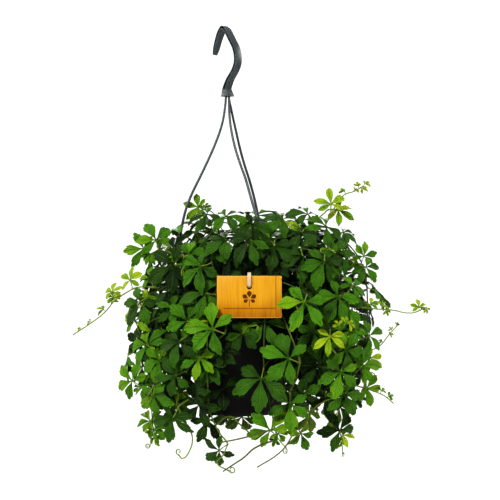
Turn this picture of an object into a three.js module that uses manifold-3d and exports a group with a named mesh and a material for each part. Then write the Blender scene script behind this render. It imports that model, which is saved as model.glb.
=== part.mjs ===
// A miniature grape ivy in a black plastic hanging pot, on a three-armed hanger, with a hang tag.
// Millimetres, +Z up, seen from -Y. Everything is laid out round the middle of the pot's rim, and the
// finished group is then shifted so that its origin is the seat of the hook, where the plant hangs.
import * as THREE from "three";
import { mergeVertices } from "three/addons/utils/BufferGeometryUtils.js";
import Module from "manifold-3d";

const wasm = await Module();
wasm.setup();

// Driving dimensions
const gap = 0.3; // clearance between pieces that touch
const potSides = 24;
const potHeight = 120;
const rimRadius = 75;
const wallThickness = 1.6;
const footRadius = 50;
const drainHoles = 6;
const drainRadius = 4;
const soilTop = -13;
const lugAngles = [180, 60, -60]; // where the hanger's arms hold the rim
const lugThickness = 2.6;
const lugSize = [11, 15];
const slotWidth = 4.6;
const armRadius = 79; // distance of an arm's lower end from the pot's axis
const armThickness = 2.9;
const hookFoot = new THREE.Vector3(-15, 0, 274); // underside of the hook's skirt
const hookTurn = -45; // turn of the hook's plane about Z
const hookSeatHeight = 84.8; // from the skirt's underside to the inside of the bend
const tagSize = [76, 1, 49.5];
const tagCentre = new THREE.Vector3(11.7, -121, 29.5);
const tagHoleDepth = 12.9; // from the card's upper edge to its hole
const tagHoleRadius = 3.1;
const stemRadius = 1.2;
const stemHoleRadius = 2.3;
const jointLength = 2.6;
const longSpan = 34; // a longer stretch of stem is split in two
const petioleRadius = 0.75;
const bladeThickness = 0.9;

const radians = THREE.MathUtils.degToRad;
const vec = (x, y, z) => new THREE.Vector3(x, y, z);

// Solids and geometries
function solidOf(geometry) {
  const bare = geometry.index ? geometry.toNonIndexed() : geometry.clone();
  for (const name of Object.keys(bare.attributes)) {
    if (name !== "position") bare.deleteAttribute(name);
  }
  const merged = mergeVertices(bare, 1e-4);
  const mesh = new wasm.Mesh({
    numProp: 3,
    vertProperties: new Float32Array(merged.attributes.position.array),
    triVerts: new Uint32Array(merged.index.array),
  });
  return new wasm.Manifold(mesh);
}

function geometryOf(solid) {
  const mesh = solid.getMesh();
  const positions = new THREE.BufferAttribute(new Float32Array(mesh.vertProperties), 3);
  const geometry = new THREE.BufferGeometry().setAttribute("position", positions);
  geometry.setIndex(new THREE.BufferAttribute(new Uint32Array(mesh.triVerts), 1));
  geometry.computeVertexNormals();
  return geometry;
}

function join(solids) {
  return solids.reduce((whole, piece) => whole.add(piece));
}

// A closed solid from a list of corner points and a list of triangles of their numbers
function solidFromTriangles(corners, triangles) {
  const mesh = new wasm.Mesh({
    numProp: 3,
    vertProperties: new Float32Array(corners.flatMap((c) => [c.x, c.y, c.z])),
    triVerts: new Uint32Array(triangles.flat()),
  });
  return new wasm.Manifold(mesh);
}

// A closed surface through rings of equal numbers of corners, each ring running the same way round
function surfaceThroughRings(rings) {
  const sides = rings[0].length;
  const triangles = [];
  for (let r = 0; r + 1 < rings.length; r++) {
    for (let s = 0; s < sides; s++) {
      const a = r * sides + s;
      const b = r * sides + ((s + 1) % sides);
      triangles.push([a, b, b + sides], [a, b + sides, a + sides]);
    }
  }
  const last = (rings.length - 1) * sides;
  for (let s = 1; s + 1 < sides; s++) {
    triangles.push([0, s + 1, s], [last, last + s, last + s + 1]);
  }
  return { corners: rings.flat(), triangles };
}

function solidThroughRings(rings) {
  const { corners, triangles } = surfaceThroughRings(rings);
  return solidFromTriangles(corners, triangles);
}

// Rings round a line of points, turned along it without twist
function ringsAlong(points, radiusAt, sides) {
  const tangents = points.map((p, i) => {
    const before = points[Math.max(i - 1, 0)];
    const after = points[Math.min(i + 1, points.length - 1)];
    return after.clone().sub(before).normalize();
  });
  let across = vec(1, 0, 0);
  return points.map((p, i) => {
    across = across.clone().addScaledVector(tangents[i], -across.dot(tangents[i])).normalize();
    const over = tangents[i].clone().cross(across);
    const radius = radiusAt(i / (points.length - 1));
    return Array.from({ length: sides }, (_, s) => {
      const angle = (2 * Math.PI * s) / sides;
      const offset = across.clone().multiplyScalar(Math.cos(angle) * radius);
      return p.clone().add(offset).addScaledVector(over, Math.sin(angle) * radius);
    });
  });
}

function tube(points, radiusAt, sides) {
  return solidThroughRings(ringsAlong(points, radiusAt, sides));
}

// A point at share t of a smooth line through chosen points
function pointAlong(points, t) {
  const u = Math.min(Math.max(t, 0), 1) * (points.length - 1);
  const i = Math.min(Math.floor(u), points.length - 2);
  const f = u - i;
  const nearby = (k) => points[Math.min(Math.max(i + k, 0), points.length - 1)];
  const [a, b, c, d] = [-1, 0, 1, 2].map(nearby);
  const weights = [
    -0.5 * f + f * f - 0.5 * f ** 3,
    1 - 2.5 * f * f + 1.5 * f ** 3,
    0.5 * f + 2 * f * f - 1.5 * f ** 3,
    -0.5 * f * f + 0.5 * f ** 3,
  ];
  return vec(0, 0, 0)
    .addScaledVector(a, weights[0])
    .addScaledVector(b, weights[1])
    .addScaledVector(c, weights[2])
    .addScaledVector(d, weights[3]);
}

function smoothLine(points, steps) {
  return Array.from({ length: steps + 1 }, (_, i) => pointAlong(points, i / steps));
}

// A seeded draw between 0 and 1 that depends only on three whole numbers
function draw(a, b, c) {
  const mixed = Math.imul(a + 1, 374761393) + Math.imul(b + 1, 668265263) + Math.imul(c + 1, 2246822519);
  let h = mixed >>> 0;
  h = Math.imul(h ^ (h >>> 15), 2246822519) >>> 0;
  h = Math.imul(h ^ (h >>> 13), 3266489917) >>> 0;
  return ((h ^ (h >>> 16)) >>> 0) / 4294967296;
}

const between = (low, high, share) => low + (high - low) * share;

const lugMiddle = -0.3 - lugThickness / 2;

// The pot: a tapered wall with a stepped collar and a rim, a foot ring, drain holes and three lugs
function potSolid() {
  const collar = -16;
  const profile = [
    [0, 3 - potHeight],
    [footRadius - 8, 3 - potHeight],
    [footRadius - 6, -potHeight],
    [footRadius, -potHeight],
    [rimRadius - 5.5, collar - 1],
    [rimRadius - 2.4, collar],
    [rimRadius - 2, -4],
    [rimRadius, -3.2],
    [rimRadius, 0],
    [rimRadius - 3.6, 0],
    [rimRadius - 4, collar + 1],
    [rimRadius - 7.1, collar - 0.4],
    [footRadius - wallThickness, 4.6 - potHeight],
    [0, 4.6 - potHeight],
  ].map(([r, z]) => new THREE.Vector2(r, z));
  let pot = solidOf(new THREE.LatheGeometry(profile, potSides).rotateX(Math.PI / 2));
  for (const angle of lugAngles) {
    const lug = new THREE.BoxGeometry(...lugSize, lugThickness);
    lug.translate(rimRadius + 3.5, 0, lugMiddle);
    const slot = new THREE.BoxGeometry(slotWidth, slotWidth, 10).translate(armRadius, 0, 0);
    lug.rotateZ(radians(angle));
    slot.rotateZ(radians(angle));
    pot = pot.add(solidOf(lug)).subtract(solidOf(slot));
  }
  for (let hole = 0; hole < drainHoles; hole++) {
    const drain = new THREE.CylinderGeometry(drainRadius, drainRadius, 12, 6).rotateX(Math.PI / 2);
    drain.translate(28, 0, -potHeight).rotateZ(radians((360 / drainHoles) * (hole + 0.5)));
    pot = pot.subtract(solidOf(drain));
  }
  return pot;
}

// The soil fills the pot below the collar; each stem stands in a plain hole in it
function soilSolid(vines) {
  const profile = [
    [0, 4.6 - potHeight + gap],
    [footRadius - wallThickness - gap, 4.6 - potHeight + gap],
    [rimRadius - 7.1 - gap - 0.6, -20],
    [58, soilTop - 3],
    [0, soilTop],
  ].map(([r, z]) => new THREE.Vector2(r, z));
  let soil = solidOf(new THREE.LatheGeometry(profile, potSides).rotateX(Math.PI / 2));
  for (const vine of vines) {
    const foot = vine.line[0];
    const hole = tube([foot.clone().setZ(foot.z - gap), foot.clone().setZ(0)], () => stemHoleRadius, 3);
    soil = soil.subtract(hole);
  }
  return soil;
}

// The hook: an I-shaped bar along a curve in one plane, on a flared skirt that the arms stand in
const hookAlong = vec(1, 0, 0).applyAxisAngle(vec(0, 0, 1), radians(hookTurn));
const hookAcross = vec(0, 1, 0).applyAxisAngle(vec(0, 0, 1), radians(hookTurn));

function hookPoint(along, across, height) {
  const point = hookFoot.clone().addScaledVector(hookAlong, along).addScaledVector(hookAcross, across);
  return point.setZ(hookFoot.z + height);
}

function hookPath() {
  const middleLine = [
    [-2, 7], [-1.4, 11], [3.9, 21], [14, 33.5], [17.6, 44.8], [14.8, 58.5], [7, 71],
    [-0.5, 82], [-6, 86.6], [-11.5, 82], [-17.2, 71], [-23.5, 53.5],
  ];
  return smoothLine(middleLine.map(([along, height]) => hookPoint(along, 0, height)), 22);
}

function hookSection(share) {
  const halfWidth = between(5, 3.9, Math.max(0, share - 0.85) / 0.15);
  const halfDepth = between(3.8, 2.2, Math.min(1, share / 0.22));
  const [web, flange] = [0.9, 1.1];
  const inner = halfDepth - flange;
  const quarter = [[halfWidth, halfDepth], [halfWidth, inner], [web, inner]];
  const mirrored = (sx, sy) => quarter.map(([x, y]) => [sx * x, sy * y]);
  return [
    ...mirrored(1, 1),
    ...mirrored(1, -1).reverse(),
    ...mirrored(-1, -1),
    ...mirrored(-1, 1).reverse(),
  ];
}

function hookSolid() {
  const path = hookPath();
  const rings = path.map((p, i) => {
    const before = path[Math.max(i - 1, 0)];
    const after = path[Math.min(i + 1, path.length - 1)];
    const outward = hookAcross.clone().cross(after.clone().sub(before)).normalize();
    const section = hookSection(i / (path.length - 1));
    return section.map(([w, d]) => p.clone().addScaledVector(hookAcross, w).addScaledVector(outward, d));
  });
  const skirtRing = (left, right, halfWidth, height) => [
    hookPoint(left, -halfWidth, height),
    hookPoint(right, -halfWidth, height),
    hookPoint(right, halfWidth, height),
    hookPoint(left, halfWidth, height),
  ];
  const skirt = solidThroughRings([
    skirtRing(-7.4, 6.5, 5.7, 0),
    skirtRing(-7, 5.4, 5.5, 2.5),
    skirtRing(-6, 2.1, 4.8, 9.5),
  ]);
  const sockets = lugAngles.map((angle) => {
    const socket = new THREE.CylinderGeometry(2.1, 2.1, 10, 6).rotateX(Math.PI / 2);
    socket.translate(armSpread, 0, hookFoot.z - 5 + armSocketDepth).rotateZ(radians(angle));
    return solidOf(socket.translate(hookFoot.x, hookFoot.y, 0));
  });
  return join([solidThroughRings(rings), skirt]).subtract(join(sockets));
}

// An arm: a round rod from the hook's skirt that bows out, drops through a lug and ends in a barbed toe
const armSpread = 2.7; // distance of the arms' heads from the middle of the skirt
const armSocketDepth = 4;
const armBows = [
  [[0, 272], [0.04, 250], [0.135, 228], [0.3, 203], [0.49, 178], [0.66, 157], [0.8, 136],
    [0.89, 114], [0.96, 85]],
  [[0, 272], [0.08, 251], [0.165, 231], [0.25, 211], [0.36, 190], [0.47, 172], [0.59, 149],
    [0.71, 120], [0.87, 84]],
  [[0, 272], [0.01, 251], [0.06, 230], [0.148, 209], [0.26, 190], [0.388, 171], [0.53, 144],
    [0.72, 110], [0.87, 78]],
]; // each arm's share of the way out, and the height there

function armLine(index) {
  const outward = vec(1, 0, 0).applyAxisAngle(vec(0, 0, 1), radians(lugAngles[index]));
  const start = hookFoot.clone().addScaledVector(outward, armSpread);
  const end = outward.clone().multiplyScalar(armRadius);
  const line = armBows[index].map(([share, height]) => start.clone().lerp(end, share).setZ(height));
  const bowed = smoothLine([...line, end.clone().setZ(48), end.clone().setZ(16)], 16);
  return [start.clone().setZ(hookFoot.z + armSocketDepth - gap), ...bowed, end.clone().setZ(-toeTop - 0.5)];
}

const toeTop = lugThickness + 0.3 + gap; // below the rim's top

function armSolid(index) {
  const line = armLine(index);
  const end = line[line.length - 1];
  const rod = tube(line, (t) => between(armThickness, armThickness + 0.8, t) / 2, 5);
  const toe = new THREE.CylinderGeometry(4, 1.4, 5, 4, 1).rotateX(Math.PI / 2).rotateZ(Math.PI / 4);
  toe.translate(0, 0, -toeTop - 2.5).rotateZ(radians(lugAngles[index])).translate(end.x, end.y, 0);
  return rod.add(solidOf(toe));
}

// The hang tag: a plain card with a punched hole
const tagHole = tagCentre.clone().setZ(tagCentre.z + tagSize[2] / 2 - tagHoleDepth);

function tagSolid() {
  const card = new THREE.BoxGeometry(...tagSize).translate(...tagCentre);
  const hole = new THREE.CylinderGeometry(tagHoleRadius, tagHoleRadius, 8, 8).translate(...tagHole);
  return solidOf(card).subtract(solidOf(hole));
}

// The tie: a flat band closed through the card's hole and over a stem, leaning back to the plant
const tieHalf = vec(2.2, 4.6, 8.2); // half its width, depth and height, to the middle of the band
const tieBand = 0.8; // half the band's thickness
const tieLean = radians(4);

function tiePoint(x, depth, height) {
  const fromHole = vec(x, depth, height + tieHalf.z).applyAxisAngle(vec(1, 0, 0), -tieLean);
  return fromHole.add(tagHole);
}

function tieSolid() {
  const bands = 14;
  const corners = [];
  const triangles = [];
  for (let i = 0; i < bands; i++) {
    const angle = (2 * Math.PI * i) / bands - Math.PI / 2;
    for (const [side, lift] of [[-1, -1], [1, -1], [1, 1], [-1, 1]]) {
      const depth = (tieHalf.y + lift * tieBand) * Math.cos(angle);
      const height = (tieHalf.z + lift * tieBand) * Math.sin(angle);
      corners.push(tiePoint(side * tieHalf.x, depth, height));
    }
    for (let s = 0; s < 4; s++) {
      const here = [i * 4 + s, i * 4 + ((s + 1) % 4)];
      const next = here.map((corner) => (corner + 4) % (4 * bands));
      triangles.push([here[0], here[1], next[1]], [here[0], next[1], next[0]]);
    }
  }
  return solidFromTriangles(corners, triangles);
}

// Leaves: five leaflets cut to the rib in one thin blade, toothed on the shoulder and pointed
const leafletAngles = [-118, -60, 0, 60, 118];
const leafletLengths = [0.76, 0.93, 1, 0.93, 0.76];
const toothedSide = [[0.4, 0.2], [0.61, 0.29], [0.69, 0.21]]; // share of the length, width over length
const plainSide = [[0.41, 0.21], [0.67, 0.23]];

// A leaf's own frame once it has swayed: its hub, the way of its middle leaflet, its left and upper side
function leafFrame(leaf, sway) {
  const [roll, pitch, yaw, lift, share = 1] = sway;
  const side = leaf.normal.clone().cross(leaf.ahead);
  const normal = leaf.normal.clone();
  normal.applyAxisAngle(side, radians(pitch)).applyAxisAngle(leaf.ahead, radians(yaw));
  const ahead = leaf.ahead.clone().addScaledVector(normal, -leaf.ahead.dot(normal)).normalize();
  ahead.applyAxisAngle(normal, radians(roll));
  const hub = leaf.hub.clone().addScaledVector(leaf.normal, lift);
  return { hub, ahead, left: normal.clone().cross(ahead), normal, size: leaf.size * share };
}

// A leaf's surface, open only where its stalk begins: the upper and the lower side share a sharp outline,
// each is raised along the ribs, and the stalk's three corners are cut out of the lower side under the hub
function bladeSurface(leaf, frame, swell = 0) {
  const at = (x, y, z) => {
    const flat = frame.hub.clone().addScaledVector(frame.ahead, x).addScaledVector(frame.left, y);
    return flat.addScaledVector(frame.normal, z);
  };
  const size = frame.size + swell;
  const half = bladeThickness / 2 + swell * 0.6;
  const corners = [];
  const triangles = [];
  const add = (point) => corners.push(point) - 1;
  const top = add(at(0, 0, half + 0.2));
  const notches = [-150, -89, -30, 30, 89, 150].map((angle) => {
    const turn = radians(angle);
    return add(at(size * 0.08 * Math.cos(turn), size * 0.08 * Math.sin(turn), 0));
  });
  const lowerRing = [notches[0]];
  leafletAngles.forEach((angle, k) => {
    const length = size * leafletLengths[k];
    const turn = radians(angle);
    const spot = (t, w, lift) => {
      const [x, y] = [t * length, w * length];
      const height = leaf.fold * Math.abs(y) - leaf.droop * length * t * t + lift;
      return at(x * Math.cos(turn) - y * Math.sin(turn), x * Math.sin(turn) + y * Math.cos(turn), height);
    };
    const upper = add(spot(0.6, 0, half));
    const lower = add(spot(0.6, 0, -half));
    const outlines = leaf.toothed && k % 2 ? [plainSide, toothedSide] : [toothedSide, plainSide];
    const [rightSide, leftSide] = leaf.toothed ? outlines : [plainSide, plainSide];
    const right = rightSide.map(([t, w]) => add(spot(t, -w, 0)));
    const tip = add(spot(1, 0, 0));
    const left = leftSide.map(([t, w]) => add(spot(t, w, 0))).reverse();
    const edge = [notches[k], ...right, tip, ...left, notches[k + 1]];
    triangles.push([top, notches[k], upper], [top, upper, notches[k + 1]]);
    lowerRing.push(lower, notches[k + 1]);
    for (let e = 0; e + 1 < edge.length; e++) {
      triangles.push([upper, edge[e], edge[e + 1]], [lower, edge[e + 1], edge[e]]);
    }
  });
  triangles.push([top, notches[5], notches[0]]);
  const stalkTop = [-60, 60, 180].map((angle) => {
    const turn = radians(angle);
    return add(at(petioleRadius * Math.cos(turn), petioleRadius * Math.sin(turn), -half - 0.15));
  });
  const lastOfCorner = [3, 6, 10]; // where the ring under the hub passes on to the stalk's next corner
  lowerRing.forEach((here, i) => {
    const next = lowerRing[(i + 1) % lowerRing.length];
    const corner = lastOfCorner.filter((last) => last < i).length;
    triangles.push([stalkTop[corner], next, here]);
    const passesOn = i === lastOfCorner[corner];
    if (passesOn) triangles.push([stalkTop[corner], stalkTop[(corner + 1) % 3], next]);
  });
  return { corners, triangles, stalkTop };
}

// The stalk's walls between three corners under the leaf and three at its foot
function stalkWalls(top, foot) {
  return [0, 1, 2].flatMap((s) => {
    const n = (s + 1) % 3;
    return [[top[s], foot[n], top[n]], [top[s], foot[s], foot[n]]];
  });
}

// A leaf with its stalk as a closed solid of its own, to try whether it fits
function leafSolid(leaf, frame, swell = 0) {
  const { corners, triangles, stalkTop } = bladeSurface(leaf, frame, swell);
  const along = frame.hub.clone().sub(leaf.foot).normalize();
  const left = frame.left.clone().addScaledVector(along, -frame.left.dot(along)).normalize();
  const ahead = left.clone().cross(along);
  const foot = [-60, 60, 180].map((angle) => {
    const turn = radians(angle);
    const radius = petioleRadius * 1.15 + swell * 0.35;
    const corner = leaf.foot.clone().addScaledVector(ahead, Math.cos(turn) * radius);
    return corners.push(corner.addScaledVector(left, Math.sin(turn) * radius)) - 1;
  });
  triangles.push(...stalkWalls(stalkTop, foot), [foot[0], foot[2], foot[1]]);
  return solidFromTriangles(corners, triangles);
}

// How a leaf may roll, pitch, yaw, lift and shrink to keep clear of its neighbours, in the order tried
const leafSways = [
  [0, 0, 0, 0], [14, 0, 0, 0], [-14, 0, 0, 0], [0, 15, 0, 2], [0, -15, 0, 2], [0, 0, 16, 0], [0, 0, -16, 0],
  [26, 8, 0, 4], [-26, 8, 0, 4], [0, 24, 18, 6], [0, 24, -18, 6], [16, -22, 0, 8], [-16, -22, 0, 8],
  [0, 10, 0, 12], [30, 0, 20, 12], [-30, 0, -20, 12], [0, 34, 0, 16], [40, -10, 0, -8], [-40, -10, 0, -8],
  [20, 40, 10, 20], [-20, 40, -10, 20], [0, -30, 0, 20], [60, 10, 20, 5], [-60, 10, -20, 5],
  [0, 10, 30, 24], [0, 10, -30, 24], [45, 45, 0, 14], [-45, 45, 0, 14], [80, 20, 0, 0], [-80, 20, 0, 0],
  [0, 0, 0, 0, 0.75], [20, 10, 0, 4, 0.75], [-20, 10, 0, 4, 0.75], [10, 0, 25, 8, 0.75],
  [-10, 0, -25, 8, 0.75], [30, -15, 0, -6, 0.75], [-30, -15, 0, -6, 0.75], [0, 35, 0, 14, 0.75],
  [0, -20, 0, -8, 0.7], [45, 20, 20, 10, 0.7], [-45, 20, -20, 10, 0.7], [0, 20, 0, 24, 0.7],
  [0, -10, 0, -14, 0.6],
];

// The photograph's view, in which the leaves of the front are placed: pixels of a 500-pixel frame
const viewPixel = 1.25; // millimetres a pixel spans at the pot's axis
const viewPoint = vec(12.5, -2000, 118);
const viewMiddle = vec(12.5, 0, 82.5);

function fromView(u, v, y) {
  const flat = vec(viewMiddle.x + (u - 250) * viewPixel, 0, viewMiddle.z + (250 - v) * viewPixel);
  return viewPoint.clone().lerp(flat, (y - viewPoint.y) / -viewPoint.y);
}

// The bush's outside is an egg round the pot
const bushCentre = vec(17, 0, -16);
const bushRadii = vec(166, 138, 168);

function bushDepth(u, v) {
  const flat = fromView(u, v, -60).sub(bushCentre);
  const left = 1 - (flat.x / bushRadii.x) ** 2 - (flat.z / bushRadii.z) ** 2;
  return -bushRadii.y * Math.sqrt(Math.max(left, 0.01));
}

function outwardAt(point) {
  return point.clone().sub(bushCentre).divide(bushRadii).divide(bushRadii).normalize();
}

function finishedLeaf(hub, normal, ahead, size, toothed, seed) {
  const flatAhead = ahead.clone().addScaledVector(normal, -ahead.dot(normal)).normalize();
  const fold = between(0.12, 0.3, draw(seed, 1, 0));
  const droop = between(0.1, 0.38, draw(seed, 2, 0));
  const leaf = { hub, normal, ahead: flatAhead, size, fold, droop, toothed };
  return { ...leaf, foot: leafFoot(leaf) };
}

// A leaf of the front, from its hub in the view, the angle of its middle leaflet there, its length and how far
// it stands back. It looks out and forward, and on the crown more and more to the sky; the less it leans, the
// more upright it stands.
function viewedLeaf([u, v, angle, size, back = 0, leans = 1], seed) {
  const hub = fromView(u, v, bushDepth(u, v) + back);
  const outward = outwardAt(hub);
  const skyward = between(0.3, 0.9, Math.max(0, outward.z * 2.2 - 1.2)) * between(0.3, 1, leans);
  const sway = vec(draw(seed, 3, 0) - 0.5, 0, draw(seed, 4, 0) - 0.5).multiplyScalar(0.5);
  const facing = vec(0, between(-1, -0.6, leans), skyward);
  const normal = outward.clone().multiplyScalar(0.5 * leans).add(facing).add(sway).normalize();
  const ahead = vec(Math.cos(radians(angle)), 0, Math.sin(radians(angle)));
  return finishedLeaf(hub, normal, ahead, size * 1.05, size > 27 && back < 40, seed);
}

// The front's vines: where each leaves the soil, its leaves in order, and where a bare shoot or tendril ends
const frontVines = [
  { foot: [-27, 14], leaves: [[207, 214, 200, 28, 16], [198, 207, 165, 20, 26, 0]] },
  { foot: [-9, 2], leaves: [[226, 216, 10, 30, 16], [255, 222, 60, 17, 24]] },
  { foot: [2, -16],
    leaves: [[226, 241, 235, 30, 30], [250, 232, 340, 28, 26], [252, 246, 225, 31, 16]] },
  { foot: [14, -26], leaves: [[243, 262, 250, 30, 62], [266, 268, 280, 30, 56]] },
  { foot: [24, -8], leaves: [[274, 247, 262, 30, 18], [283, 219, 130, 29, 16]] },
  { foot: [29, 9], leaves: [[308, 214, 165, 27, 24], [338, 210, 330, 22, 16, 0.2], [331, 204, 95, 24, -8, 0]],
    shoot: [[344, 195, -10], [355, 191, -12], [363, 186, -14]] },
  { foot: [41, -16],
    leaves: [[301, 232, 240, 30, 20], [326, 226, 195, 31, 10], [336, 253, 300, 27, 2]] },
  { foot: [43, 4], leaves: [[343, 232, 320, 22, 12], [364, 256, 75, 19, 0, 0], [366, 267, 300, 22]] },
  { foot: [32, -28], leaves: [[303, 256, 275, 30, 18], [324, 262, 245, 31, 4], [339, 274, 300, 31]] },
  { foot: [46, -10], leaves: [[353, 286, 50, 21], [346, 307, 305, 28], [371, 304, 20, 12]],
    shoot: [[392, 310, -24], [412, 313, -28], [427, 307, -30]] },
  { foot: [40, -24], leaves: [[350, 330, 200, 29, 10], [366, 337, 30, 24], [370, 358, 320, 22]],
    shoot: [[381, 345, -34], [389, 335, -36], [398, 325, -38]] },
  { foot: [22, -40], through: [[-2, -66, 44], [-14, -112, 51], [11.7, -118.6, 53.6], [37, -116, 50]],
    leaves: [[304.5, 302, 250, 34, -8], [330, 336.7, 265, 23, -10]],
    shoot: [[338, 329, -138], [347, 324, -140]] },
  { foot: [38, -34], leaves: [[337, 300, 235, 31, 10], [322, 318, 280, 29, 26], [346, 350, 265, 29]] },
  { foot: [24, -48], over: [46, -92],
    leaves: [[288.9, 358.5, 162, 38], [290, 404, 270, 30], [301, 434, 290, 22]],
    shoot: [[280, 453, -98], [257, 468, -104]] },
  { foot: [12, -52], over: [30, -100], leaves: [[261.3, 378.6, 262, 38, 6], [270.5, 431, 125, 31]] },
  { foot: [51, -18], over: [84, -36], leaves: [[312, 341, 262, 32, 78], [311, 368, 250, 31, 64]] },
  { foot: [44, -38], over: [66, -78],
    leaves: [[340, 372, 230, 30], [344, 394, 300, 29], [367, 388, 350, 24]],
    shoot: [[378, 393, -52], [386, 397, -56], [394, 404, -60]] },
  { foot: [50, -30], over: [78, -62],
    leaves: [[362, 366, 60, 26], [326, 398, 265, 21, 30], [340, 431, 125, 30]] },
  { foot: [4, -44], over: [8, -96], leaves: [[264, 320, 262, 30, 28], [243, 334, 245, 24, 26]] },
  { foot: [-14, -46], over: [-20, -104], leaves: [[212.8, 329.3, 159, 38, -4], [199, 358, 265, 25]] },
  { foot: [-28, -26], leaves: [[201, 266, 212, 32], [206, 293, 185, 31, 8], [186, 321, 170, 29]] },
  { foot: [-20, -12], leaves: [[209, 246, 225, 27, 22], [189, 256, 350, 25, 12]] },
  { foot: [-40, -14], leaves: [[174, 265, 195, 36], [163, 285, 215, 30], [140, 302, 235, 29]] },
  { foot: [-44, 0], leaves: [[150, 278, 110, 21, 16], [130, 280, 95, 20], [112, 292, 100, 17]],
    shoot: [[104, 313, -20], [88, 325, -24], [72.6, 335, -28]] },
  { foot: [-38, 12], leaves: [[184, 252, 20, 20, 20], [156, 240, 109, 29, 12, 0], [143, 248, 140, 26, -8, 0]] },
  { foot: [-47, -16], leaves: [[172, 307, 185, 31], [135, 321, 100, 25], [148, 345, 125, 32]] },
  { foot: [-50, -8], over: [-85, -26],
    leaves: [[180, 338, 262, 31, 80], [190, 374, 300, 29, 46], [176, 402, 250, 31, 40]] },
  { foot: [-44, -26], leaves: [[182, 342, 240, 26], [160, 360, 265, 32], [132, 381, 140, 28]] },
  { foot: [-36, -36], over: [-72, -74],
    leaves: [[178, 376, 215, 28, 6], [153, 395, 280, 28], [155, 430, 20, 22]] },
  { foot: [-28, -44], over: [-52, -88], leaves: [[199, 405, 290, 29, 30], [173, 418, 250, 31]],
    shoot: [[192, 436, -64], [189, 452, -62], [182, 459, -60], [179, 456, -58]] },
  { foot: [-8, -54], over: [-36, -98], leaves: [[208, 422, 262, 28, 24], [219, 451, 215, 26]],
    shoot: [[217, 464, -86], [228, 471, -90]] },
];

// The sides, the back and the middle of the top, by rule: long curtains and shorter vines
const ruledGroups = [
  { count: 9, from: -4, to: 188, heights: [46, 14, -16, -44], footRadius: 46 },
  { count: 6, from: 8, to: 168, heights: [62, 30], footRadius: 30 },
  { count: 4, from: 10, to: 270, heights: [78], footRadius: 15 },
];

function ruledLeaf(azimuth, height, size, turn, seed) {
  const [a, h] = [radians(azimuth), radians(height)];
  const onEgg = vec(Math.cos(a) * Math.cos(h), Math.sin(a) * Math.cos(h), Math.sin(h));
  const share = between(0.84, 0.98, draw(seed, 5, 0)) - (height > 60 ? 0.17 : 0);
  const hub = onEgg.multiply(bushRadii).multiplyScalar(share).add(bushCentre);
  const outward = outwardAt(hub);
  const lean = vec(draw(seed, 3, 0) - 0.5, draw(seed, 6, 0) - 0.5, draw(seed, 4, 0) - 0.5);
  const normal = outward.clone().add(vec(0, 0, 0.45)).addScaledVector(lean, 0.5).normalize();
  const downhill = vec(outward.x, outward.y, -0.9).normalize();
  return finishedLeaf(hub, normal, downhill.applyAxisAngle(normal, radians(turn)), size, false, seed);
}

function ruledVines({ count, from, to, heights, footRadius }, group) {
  return Array.from({ length: count }, (_, i) => {
    const azimuth = between(from, to, i / (count - 1));
    const seed = 500 + 100 * group + 10 * i;
    const leaves = heights.map((height, k) => {
      const side = (i + k) % 2 ? 1 : -1;
      const size = between(40, 28, k / 4) * between(0.9, 1.1, draw(seed + k, 7, 0));
      const turn = side * between(15, 55, draw(seed + k, 8, 0));
      const level = height + between(-5, 5, draw(seed + k, 9, 0));
      return ruledLeaf(azimuth + side * 6, level, size, turn, seed + k);
    });
    const a = radians(azimuth + 6);
    return { foot: [footRadius * Math.cos(a), footRadius * Math.sin(a)], leaves };
  });
}

function allVines() {
  const front = frontVines.map((vine, i) => {
    const leaves = vine.leaves.map((row, k) => viewedLeaf(row, 10 * i + k));
    return { ...vine, leaves };
  });
  return [...front, ...ruledGroups.flatMap(ruledVines)];
}

// A stem's line: straight up through the soil, over a crest, past each leaf's foot and out along any shoot.
// At each leaf's foot the line has two points close together, a joint from which the stalk grows.
function stemLine(vine, sway) {
  const [sideways, upward, footTurn] = sway;
  const foot = vec(vine.foot[0], vine.foot[1], soilTop - 9).applyAxisAngle(vec(0, 0, 1), radians(footTurn));
  const footTop = foot.clone().setZ(soilTop + 4);
  const nodes = vine.leaves.map((leaf) => leaf.foot);
  const toFirst = nodes[0].clone().sub(foot).setZ(0);
  const crossways = vec(-toFirst.y, toFirst.x, 0).normalize();
  const hangs = nodes[0].z < 10;
  const crest = foot.clone().addScaledVector(toFirst, hangs ? 0.4 : 0.45);
  crest.setZ(hangs ? 34 : between(soilTop, nodes[0].z, 0.72)).addScaledVector(crossways, sideways);
  crest.z += upward;
  const over = vine.over ? [vec(vine.over[0], vine.over[1], 14 + upward)] : [];
  const through = vine.through ? vine.through.map((p) => vec(...p)) : [crest, ...over];
  const shoot = (vine.shoot || []).map((p) => fromView(...p));
  const bends = [footTop, ...through, ...nodes, ...shoot];
  const line = [foot];
  const joints = [];
  bends.forEach((bend, i) => {
    const [here, onward] = [i / (bends.length - 1), (i + 0.5) / (bends.length - 1)];
    line.push(bend);
    if (nodes.includes(bend)) {
      joints.push(line.length - 1);
      const isLast = i + 1 === bends.length;
      const ahead = isLast ? bend.clone().multiplyScalar(2).sub(bends[i - 1]) : pointAlong(bends, onward);
      line.push(bend.clone().addScaledVector(ahead.sub(bend).normalize(), jointLength));
    }
    const isLong = i + 1 < bends.length && bend.distanceTo(bends[i + 1]) > longSpan;
    if (isLong) line.push(pointAlong(bends, onward));
  });
  return { line, joints };
}

function leafFoot(leaf) {
  const back = leaf.size * 0.22 + 5;
  return leaf.hub.clone().addScaledVector(leaf.ahead, -back).addScaledVector(leaf.normal, -7);
}

const stemRadiusAt = (t) => stemRadius * between(1.25, 0.5, t);

function stemSolid(line, swell = 0) {
  return tube(line, (t) => stemRadiusAt(t) + swell * 0.4, 3);
}

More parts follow.
